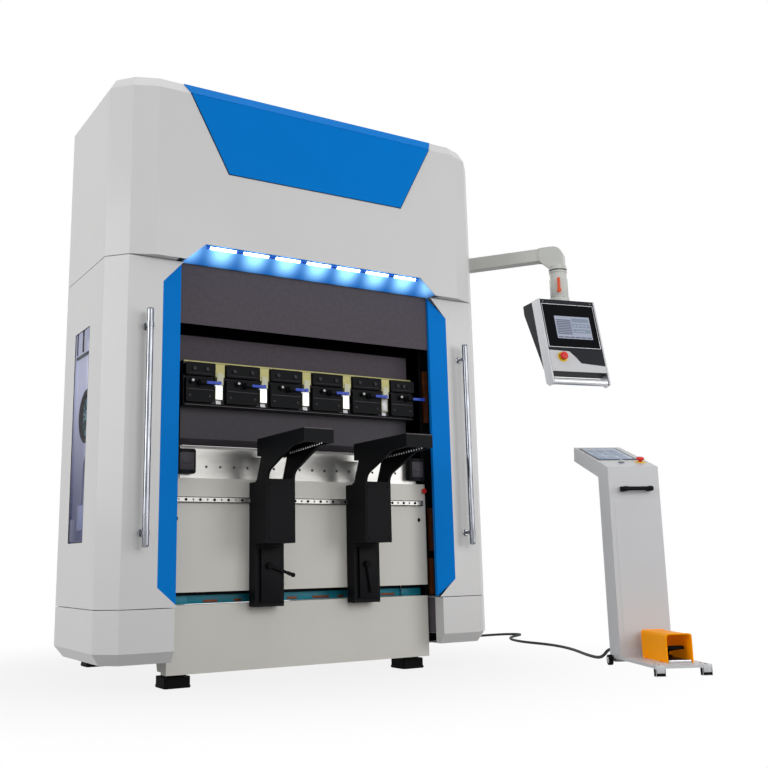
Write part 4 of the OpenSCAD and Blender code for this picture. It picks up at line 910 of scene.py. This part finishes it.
def table_details():
    """Rims of the table beam's holes, screws and edges of its rail, end blocks' plates, and bed screws."""
    rims = [ring((x, BEAM_Y + 0.2, 840), 4.1, 5.4, -0.6, 0.4, "y", 0.2, 18)
            for x in range(-510, 511, SCREW_PITCH)]
    piece("table_hole_rims", rims, DARK_STEEL)
    z = middle("front_rail", "z")
    rail = [socket_screw((x, RAIL_Y + 0.2, z), 5.6, 2.2) for x in range(-540, 541, SCREW_PITCH)]
    piece("rail_screws", rail, BLACK)
    edges = [slab(reach("front_rail", "x", 0.5), span(RAIL_Y, 1), span(z, 1.4), 0.5)
             for z in reach("front_rail", "z", 1.2)]
    piece("rail_edges", edges, BLACK)
    blocks = [slab(span(BLOCK_X, 30), (BLOCK_Y - 3.5, BLOCK_Y + 1), span(BLOCK_Z, 35), 3),
              slab(span(BLOCK_X, 22), (BLOCK_Y - 5.5, BLOCK_Y - 2), span(BLOCK_Z, 11), 2)]
    piece("end_block_plates", both(blocks), DARK_STEEL)
    bolts = [socket_screw((x, BLOCK_Y - 1, z), 5, 4) for x in span(BLOCK_X, 24) for z in span(BLOCK_Z, 40)]
    piece("end_block_bolts", both(bolts), BLACK)
    bed = [socket_screw((x, BED_Y + 0.3, z), 7, 2.5)
           for x in reach("bed_plate", "x", 10) for z in (390, 510)]
    piece("bed_screws", bed, FRAME_COAT)


table_details()


# --- support arms -----------------------------------------

ARM_TOP, ARM_FRONT = reach("left_support_arm", "z")[1] + 0.8, reach("left_support_arm", "y")[0]
SCALE_Y, SCALE_Z, SCALE_PITCH = (-364, -110), (875, 884), 18
SCALE_START, SCALE_SLOPE = 26, 0.0452  # Y where the scale's rise starts, and its rise per millimetre
LEVER_TURNS = {"left": 20, "right": 80}  # degrees about Y from the lever's X direction


def arm_details(word, mid):
    """Cover plates, screws, brushes, scale and stop of one support arm, whose middle line is at mid."""
    body = word + "_arm"
    plates = [plate(round_box(span(mid, 55), (546, 776), 6), "y", -61.6, -59.5, 0.6),
              slab(span(mid, 43), (28.5, 31), (310, 520), 3)]
    screws = [socket_screw((mid + dx, -61.4, z), 4, 2.4) for dx in (-47, 47) for z in (556, 766)]
    screws += [socket_screw((mid + dx, 41.2, z), 5, 3) for dx in (-49, 49) for z in (310, 500)]
    brushes = [slab(span(mid + dx, 2), (ARM_FRONT + 2, 20), (ARM_TOP - 1.2, ARM_TOP), 0.5)
               for dx in (-60, 60)]
    brushes.append(slab(span(mid, 62), (ARM_FRONT - 0.4, ARM_FRONT + 3), (ARM_TOP - 4.3, ARM_TOP), 0.5))
    ticks = []
    for y in range(*SCALE_Y, SCALE_PITCH):
        z = np.add(SCALE_Z, (SCALE_START - y) * SCALE_SLOPE)
        ticks.append(slab((mid + 15, mid + 18), (y, y + 5), z, 0.4))
    piece(body + "_plates", plates, ARM_FACE, body)
    piece(body + "_screws", screws, BLACK, body)
    piece(body + "_strips", brushes, LEDGE, body)
    piece(body + "_ticks", ticks, SILVER, body)
    piece(body + "_stop", [socket_screw((mid - 52, 41.2, 653), 6, 3)], SILVER, body)


def arm_lever_grip(word, mid, turn):
    """Rounded grip and hub cap of an arm lever, along the direction that it is turned to."""
    a = math.radians(turn)
    way, hub = np.array([math.cos(a), 0, -math.sin(a)]), np.array([mid - 11, 0, 450])
    grip = tube([hub + [0, 21, 0] + u * way for u in (86, 90, 100, 108, 112)], 7.6, 20, 1, along=(0, 1, 0))
    cap = turned([(12.6, 10.5), (12.6, 9), (9, 7.5), (0.3, 7.2)], hub, "y", 28)
    piece(word + "_lever_grip", [grip, cap], RUBBER, word + "_arm_lever")


for word, turn in LEVER_TURNS.items():
    mid = middle(word + "_support_arm", "x")
    arm_details(word, mid)
    arm_lever_grip(word, mid, turn)


# --- pendant ----------------------------------------------

GRIP_AT, GRIP_HALF = (0, 19, -418), 144
GLASS_X, GLASS_Z = (-140.5, 136.5), (-253, -25)
PAGE_FRONT = (-3.9, -3.2)  # Y of what stands on the display's page
PENDANT_STOP, STOP_MARK_R = (-78, 0, -302), 17
SWIVEL_BOLTS, SWIVEL_BOLT_R = 6, 42.984
ARM_BAND = 33.6  # half the side of the square bands round the pendant arm


def pendant_details():
    """Pendant face: silver rails and grip, glass frame, key panel and screws."""
    rail = [(-2.4, 0.4), (-2.4, -434), (6, -434.6), (40, -434.6), (60.5, -414.5), (60.5, 13.4)]
    rails = both([plate(rail, "x", 143.3, 152.2, 1.2)])
    grip = [(16.3, -GRIP_HALF), (16.4, -120), (16.4, 120), (16.3, GRIP_HALF)]
    collars = both([ring(GRIP_AT, 16, 17.6, 130, 143, "x", 0.8, 40)])
    pendant_piece("pendant_rails", rails + [turned(grip, GRIP_AT, "x", 40)] + collars, SILVER)
    pendant_piece("glass_frame", border(GLASS_X, (-4.2, 0.5), GLASS_Z, 2.5, 0.6, thin="y"), SILVER)
    keys = [(-143, -268), (-36.5, -272), (-8, -300), (15.5, -331), (143, -341), (143, -375.5),
            (-143, -375.5)]
    pendant_piece("key_panel", [plate(keys, "y", -1.8, 0.6, 0.5)], CONSOLE_COAT)
    screws = [socket_screw((x, -0.2, z), 3, 1.8) for x in (-128, 128) for z in (-12, -366)]
    pendant_piece("pendant_screws", screws, KNOB)


def display_details():
    """Page on the pendant's glass, with rows, tabs, fields and marks."""
    pendant_piece("display", [slab((-84, 104), (-3.5, -2.6), (-206, -88), 0.4)], PAGE)
    rows = [slab((-78, 0), PAGE_FRONT, span(-109 - 9 * k, 3), 0.3) for k in range(9)]
    tabs = [slab(span(-65 + 30 * k, 13), PAGE_FRONT, (-202, -195), 0.3) for k in range(6)]
    pendant_piece("display_rows", rows + tabs, PAGE_DARK)
    fields = [slab((6, 98), PAGE_FRONT, span(-107.5 - 28 * k, 10.5), 0.3) for k in range(3)]
    pendant_piece("display_fields", fields, PAGE_BLUE)
    marks = [slab(span(19 + 20 * k, 7), (-4.2, -3.6), (-140, -131), 0.3) for k in range(4)]
    pendant_piece("display_marks", marks + [slab((20, 70), (-4.2, -3.6), (-168, -163), 0.3)], PAGE)


def pendant_stop_details():
    """Yellow ring, its three marks on a circle, and the red cap of the pendant's stop button."""
    x, _, z = PENDANT_STOP
    pendant_piece("pendant_stop_ring", [ring(PENDANT_STOP, 9.5, 25, -4.2, -1.2, "y", 1.0, 48)], YELLOW)
    marks = []
    for a in (0.6, 2.7, 4.7):
        u, w = x + STOP_MARK_R * math.cos(a), z + STOP_MARK_R * math.sin(a)
        marks.append(slab(span(u, 2), (-4.6, -3.9), span(w, 2), 0.3))
    pendant_piece("stop_arrows", marks, RUBBER)
    cap = [(19.3, -15), (19.3, -20.5), (14, -25.2), (6, -26.4), (0.3, -26.6)]
    pendant_piece("pendant_stop_cap", [turned(cap, PENDANT_STOP, "y", 48)], RED, "pendant_stop")


def swivel_details():
    """Swivel under the arm: flanges and clamp ring, a dark joint line, bolts on a circle, and the lever."""
    bands = [(39.5, 40.5, 2, 163, 0.6), (39.8, 43.6, 22, 118, 2.5), (40, 46.6, -3, 22.3, 0.6),
             (40, 43, 150, 160, 0.6)]
    shell = [ring((0, 0, 0), inner, outer, lo, hi, edge=e, n=56) for inner, outer, lo, hi, e in bands]
    pendant_piece("swivel_shell", shell, ARM_COAT, place=on_coupling, crease=50)
    line = [ring((0, 0, 0), 40, 43.8, 159.5, 161.5, n=56)]
    pendant_piece("swivel_lines", line, DARK_STEEL, place=on_coupling)
    bolt = [(4, 22), (4, 25.5), (2.4, 26), (2, 24), (0.3, 24)]
    a = np.linspace(0, 2 * math.pi, SWIVEL_BOLTS, endpoint=False) + 0.5
    spots = SWIVEL_BOLT_R * np.stack([np.cos(a), np.sin(a), 0 * a], 1)
    pendant_piece("swivel_bolts", [turned(bolt, at, n=14) for at in spots], KNOB, place=on_coupling)
    lever = [turned([(7.6, -64), (10.5, -63), (10.5, -58), (7.6, -57)], (0, 0, 52), "y", 28),
             slab(span(0, 7.2), (-63, -51.4), (58, 115.5), 2.6)]
    pendant_piece("pendant_lever_grip", lever, LEVER_RED, "pendant_lever", on_lever)


def arm_tube_details():
    """Bands near both ends of the pendant arm, skirt at its elbow, bracket bolts and pivot cap."""
    band = round_box(span(0, ARM_BAND), span(0, ARM_BAND), 8)
    bands = [plate(band, "x", lo, hi, 1.0) for lo, hi in ((484, 491), (40, 48))]
    piece("arm_bands", bands, ARM_COAT, "pendant_arm", on_arm)
    skirt = [ring((ARM_REACH, 0, -85), 40.6, 43.6, 1, 9, n=56)]
    piece("elbow_skirt", skirt, ARM_COAT, "pendant_arm", on_arm)
    bolts = [socket_screw((902.5, y, z), 6, 5, "x", 1) for y in (304, 402) for z in (1862, 1878, 1975, 1982)]
    pin = turned([(14, 0), (14, 3), (10, 6), (0.3, 6.5)], (*ARM_AT[:2], 1970), n=32)
    piece("bracket_bolts", bolts + [pin], KNOB)


pendant_details()
display_details()
pendant_stop_details()
swivel_details()
arm_tube_details()


# --- console ----------------------------------------------

HEAD_STOP, HEAD_BUTTON = (188, 96, 0), (97, 88, 0)
PULL_Y, PULL_Z = -34, 752  # the middle line of the console's pull handle
BASE_TOP, BASE_XS = 42.2, (20, 210)  # just above the console's base, and the middle lines of its side bars


def head_details():
    """Screen bezel, its page with nine tiles, stop button and start button on the console's head."""
    head_piece("screen_bezel", [plate(round_box((10, 200), (146, 429), 6), "z", -0.4, 1.2, 0.5)], BEZEL)
    head_piece("screen_page", [slab((24, 186), (170, 414), (1.6, 2.6), 0.4)], SKY)
    tiles = [slab(span(53 + 50 * a, 21), span(216 + 74 * b, 30), (2.3, 3.0), 0.3)
             for a in range(3) for b in range(3)]
    head_piece("screen_tiles", tiles, PAGE_BLUE)
    head_piece("console_stop_ring", [ring(HEAD_STOP, 9.5, 24.5, 0.4, 3.2, edge=1.0, n=48)], YELLOW)
    cap = [(18.3, 14), (18.3, 19), (13, 24.2), (5, 25.4), (0.3, 25.6)]
    head_piece("console_stop_cap", [turned(cap, HEAD_STOP, n=48)], RED, "console_stop")
    head_piece("button_ring", [ring(HEAD_BUTTON, 11.5, 15.5, 0.2, 3, edge=0.8, n=40)], CHROME)
    dome = [(11.2, 6.2), (11.3, 11), (9, 12.6), (0.3, 13.2)]
    head_piece("button_cap", [turned(dome, HEAD_BUTTON, n=40)], SILVER, "console_button")


def column_covers():
    """Door, pull handle's ends and posts, rear cover, vents and cable gland of the console's column."""
    door = [plate(round_box((20, 210), (90, 700), 4), "y", -1.0, 0.6, 0.4)]
    console_piece("console_door", door, CONSOLE_COAT)
    end = np.array([(9.3, 0), (11, 3), (11, 20), (9.3, 24)])
    grip = [turned(end * [1, out], (x, PULL_Y, PULL_Z), "x", 28) for x, out in ((52, 1), (186, -1))]
    grip += [slab(span(x, 11), (-10, 0.4), span(PULL_Z, 11), 3) for x in (60, 178)]
    grip += [slab(span(x, 9), (-36, -6), span(PULL_Z, 8), 4) for x in (60, 178)]
    console_piece("console_handle_ends", grip, BLACK)
    console_piece("console_back", [slab((30, 200), (125.6, 127), (110, 760), 1.0)], CONSOLE_COAT)
    slots = [slab((60, 170), (126.4, 127.6), span(642.5 + 14 * k, 2.5), 0.6) for k in range(7)]
    console_piece("console_vents", slots, BLACK)
    gland = [(14.4, 126), (14.4, 131), (12, 133), (12, 138), (9, 140.2), (7.2, 140.2)]
    console_piece("console_gland", [turned(gland, (42, 0, 64), "y", 32)], BLACK)


def base_details():
    """Feet and lips under the front, wheel hubs and forks at the back, and bolts in the base."""
    feet = [slab(span(x, 20.3), (-368.3, -345.7), (0, 30.4), 2.5) for x in BASE_XS]
    console_piece("console_feet", feet, RUBBER)
    lips = [slab(span(x, 17), (-369, -356), (12, BASE_TOP), 1.5) for x in BASE_XS]
    console_piece("console_lips", lips, CONSOLE_COAT)
    hub = np.array([(12, 0), (12, 1.5), (8, 3), (0.3, 3.2)])
    hubs = [turned(hub * [1, out], (x, 96, 22), "x", 28) for x, out in ((-21.4, -1), (251.4, 1))]
    console_piece("wheel_hubs", hubs, SILVER, "console_wheels")
    forks = [slab((x, x + 3.2), (84, 108), (18, 32), 1.2) for x in (-3.4, 230.2)]
    console_piece("wheel_forks", forks, BLACK)
    bolts = [socket_screw((x, y, BASE_TOP - 0.4), 5, 2.6, "z", 1) for x in BASE_XS for y in (-352, -310)]
    console_piece("base_bolts", bolts, KNOB)


head_details()
column_covers()
base_details()


# --- foot switch ------------------------------------------

PEDAL_X = (90, 184)
GUARD_HALF, GUARD_TOP = 53, 153  # the guard's arch, from its middle line and from the floor
GUARD_FOOT_YS = (-228, -78)


def pedal_details():
    """Foot switch: housing and sill, and the ribbed tread with its lip."""
    housing = [slab(PEDAL_X, (-282, -46), (BASE_TOP, 50), 3),
               slab((93, 181), (-120, -42), (BASE_TOP, 56), 4)]
    console_piece("pedal_housing", housing, DARK_STEEL)
    console_piece("pedal_sill", [slab(PEDAL_X, (-286, -281), (BASE_TOP, 52), 1.5)], SILVER)
    ribs = [slab(span(0, 35), span(-157 + 13 * k, 3), (10.4, 13.6), 1.2) for k in range(11)]
    console_piece("pedal_ribs", ribs, RUBBER, "pedal", on_tread)
    console_piece("pedal_lip", [slab(span(0, 38.6), (-167, -161), (-2, 12), 2)], RUBBER, "pedal", on_tread)


def guard_details():
    """Rolled edges of the guard along its arch, its feet, pins, screws and boss, and two studs."""
    mid = PIN_AT[0]
    half = [(GUARD_HALF, 43), (GUARD_HALF, 138), (50, 149), (39, GUARD_TOP)]
    arch = [(mid - u, z) for u, z in half] + [(mid, GUARD_TOP)] + [(mid + u, z) for u, z in half[::-1]]
    edges = [tube([(x, y, z) for x, z in arch], 2.4, n=10, fine=2, along=(0, 1, 0)) for y in (-287.6, -39.4)]
    console_piece("guard_edges", edges, ORANGE)
    feet = [slab((x, x + 10), span(y, 12), (BASE_TOP, 48), 1.5) for y in GUARD_FOOT_YS for x in (76, 188)]
    console_piece("guard_feet", feet, ORANGE)
    pin = np.array([(8, 0), (8, 2), (5, 4), (0.3, 4)])
    pins = [turned(pin * [1, out], PIN_AT + [GUARD_HALF * out, 0, 0], "x", 24) for out in (-1, 1)]
    screws = [socket_screw((81, y, 47.6), 3.2, 2, "z", 1) for y in GUARD_FOOT_YS]
    console_piece("guard_screws", pins + screws, ORANGE)
    boss = [turned([(13, 0), (13, 22), (10, 26), (0.3, 26)], (108, -44, 110), "y", 28)]
    console_piece("guard_boss", boss, ORANGE)
    studs = [turned([(7, 0), (7, 16), (4, 18), (0.3, 18)], (92, -40, z), "y", 20) for z in (62, 84)]
    console_piece("guard_studs", studs, KNOB)


pedal_details()
guard_details()


# --- frame, drive and back gauge --------------------------

MOTOR_X, MOTOR_Y = middle("right_ball_screw", "x"), 505
BELT_SLOPE = 0.14  # how far the belt moves outwards on each millimetre backwards
FOOT_R = 52.5
FOOT_XS, FOOT_YS = reach("levelling_feet", "x", FOOT_R), reach("levelling_feet", "y", FOOT_R)
SIDE_X, SIDE_TOP = reach("side_frames", "x")[1], reach("side_frames", "z")[1]
CROWN_TOP = reach("cross_beams", "z")[1]
GAUGE_X = 440


def frame_details():
    """Bolts of the frame and its crown, lifting bosses and foot pads."""
    spots = [(y, z) for z in (130, 230, 1400, 1460) for y in (1150, 1215)]
    spots += [(y, 400) for y in (660, 900, 1100)]
    bolts = [socket_screw((SIDE_X, y, z), 11, 8, "x", 1) for y, z in spots]
    piece("frame_bolts", both(bolts), DARK_STEEL)
    crown = [socket_screw((x, y, CROWN_TOP), 10, 8, "z", 1)
             for x in (532, 556) for y in (240, 330, 420, 560)]
    piece("crown_bolts", both(crown), DARK_STEEL)
    eye = [(24, 0), (24, 8), (16, 12), (14, 30), (0.3, 31)]
    piece("lifting_bosses", both([turned(eye, (FOOT_XS[1], 660, SIDE_TOP), n=32)]), BLACK)
    pads = [slab(span(x, FOOT_R + 0.5), span(y, FOOT_R + 0.5), (0, 12), 4)
            for x in FOOT_XS for y in FOOT_YS]
    piece("foot_pads", pads, RUBBER)


def motor_details():
    """Fins, plugs, cables and pulleys of the two drive motors, and the teeth along their belts."""
    fins = [slab(span(MOTOR_X, 65), span(MOTOR_Y, 65), span(1966 + 17 * k, 2), 1.2) for k in range(11)]
    piece("motor_fins", both(fins), BLACK)
    collar = [(50, -9), (50, 9), (54, 6), (54, -6)]
    plugs = [slab(span(MOTOR_X, 30), (565, 593), (2040, 2096), 5),
             turned(collar, (MOTOR_X, MOTOR_Y, 1900), n=48, hollow=True)]
    piece("motor_plugs", both(plugs), DARK_STEEL)
    cable = [(330, 590, 2060), (330, 620, 2050), (345, 631, 2010), (352, 631, 1930), (352, 629, 1850)]
    piece("motor_cables", both([side_tube(cable, 7, n=12, fine=3)]), RUBBER)
    hub = [(36.4, 2170), (36.4, 2180), (30, 2184), (30, 2229.5), (10, 2230.5), (0.3, 2230.5)]
    piece("motor_pulleys", both([turned(hub, (MOTOR_X, MOTOR_Y, 0), n=48)]), STEEL)
    teeth = [slab(span(246 + BELT_SLOPE * (y - 260), 2), (y, y + 5), (2196, 2222), 0.8)
             for y in range(290, 481, 10)]
    piece("belt_teeth", both(teeth), RUBBER)


def gauge_details():
    """Motor fins, scale, marks and end stops of the back gauge."""
    fins = [slab(span(0, 43), span(1064 + 16 * k, 2), (619, 705), 2) for k in range(6)]
    piece("gauge_motor_fins", fins, BLACK)
    piece("gauge_scale", [slab(span(0, GAUGE_X), (584.4, 585.6), (752, 764), 0.4)], SILVER, "gauge_beam")
    marks = [slab(span(x, 0.6), (583.8, 585.0), (752, 760), 0.3) for x in range(-430, 431, 20)]
    piece("gauge_marks", marks, BLACK, "gauge_beam")
    stops = [slab(span(x, 6), (604, 636), (780, 800), 2) for x in (-GAUGE_X, GAUGE_X)]
    piece("gauge_stops", stops, BLACK, "gauge_beam")


def finger_details(word):
    """Turned thumb knob on a gauge finger, and its hard tip with two screws."""
    finger, body = word + "_gauge_finger", word + "_finger"
    x, front, top = middle(finger, "x"), reach(finger, "y")[0], reach(finger, "z")[1]
    thumb = [(5, 0), (5, 8), (11, 9), (12, 12), (12, 20), (9, 22), (0.3, 22)]
    piece(body + "_knob", [turned(thumb, (x, 654, 820), "y", 28)], RUBBER, body)
    tip = [slab(span(x, 14.4), (front - 1.5, front + 4), (top - 14.5, top + 0.5), 1.5)]
    tip += [socket_screw((x + dx, 580, 840.2), 5, 3, "z", 1) for dx in (-26, 26)]
    piece(body + "_tip", tip, DARK_STEEL, body)


frame_details()
motor_details()
gauge_details()
finger_details("left")
finger_details("right")
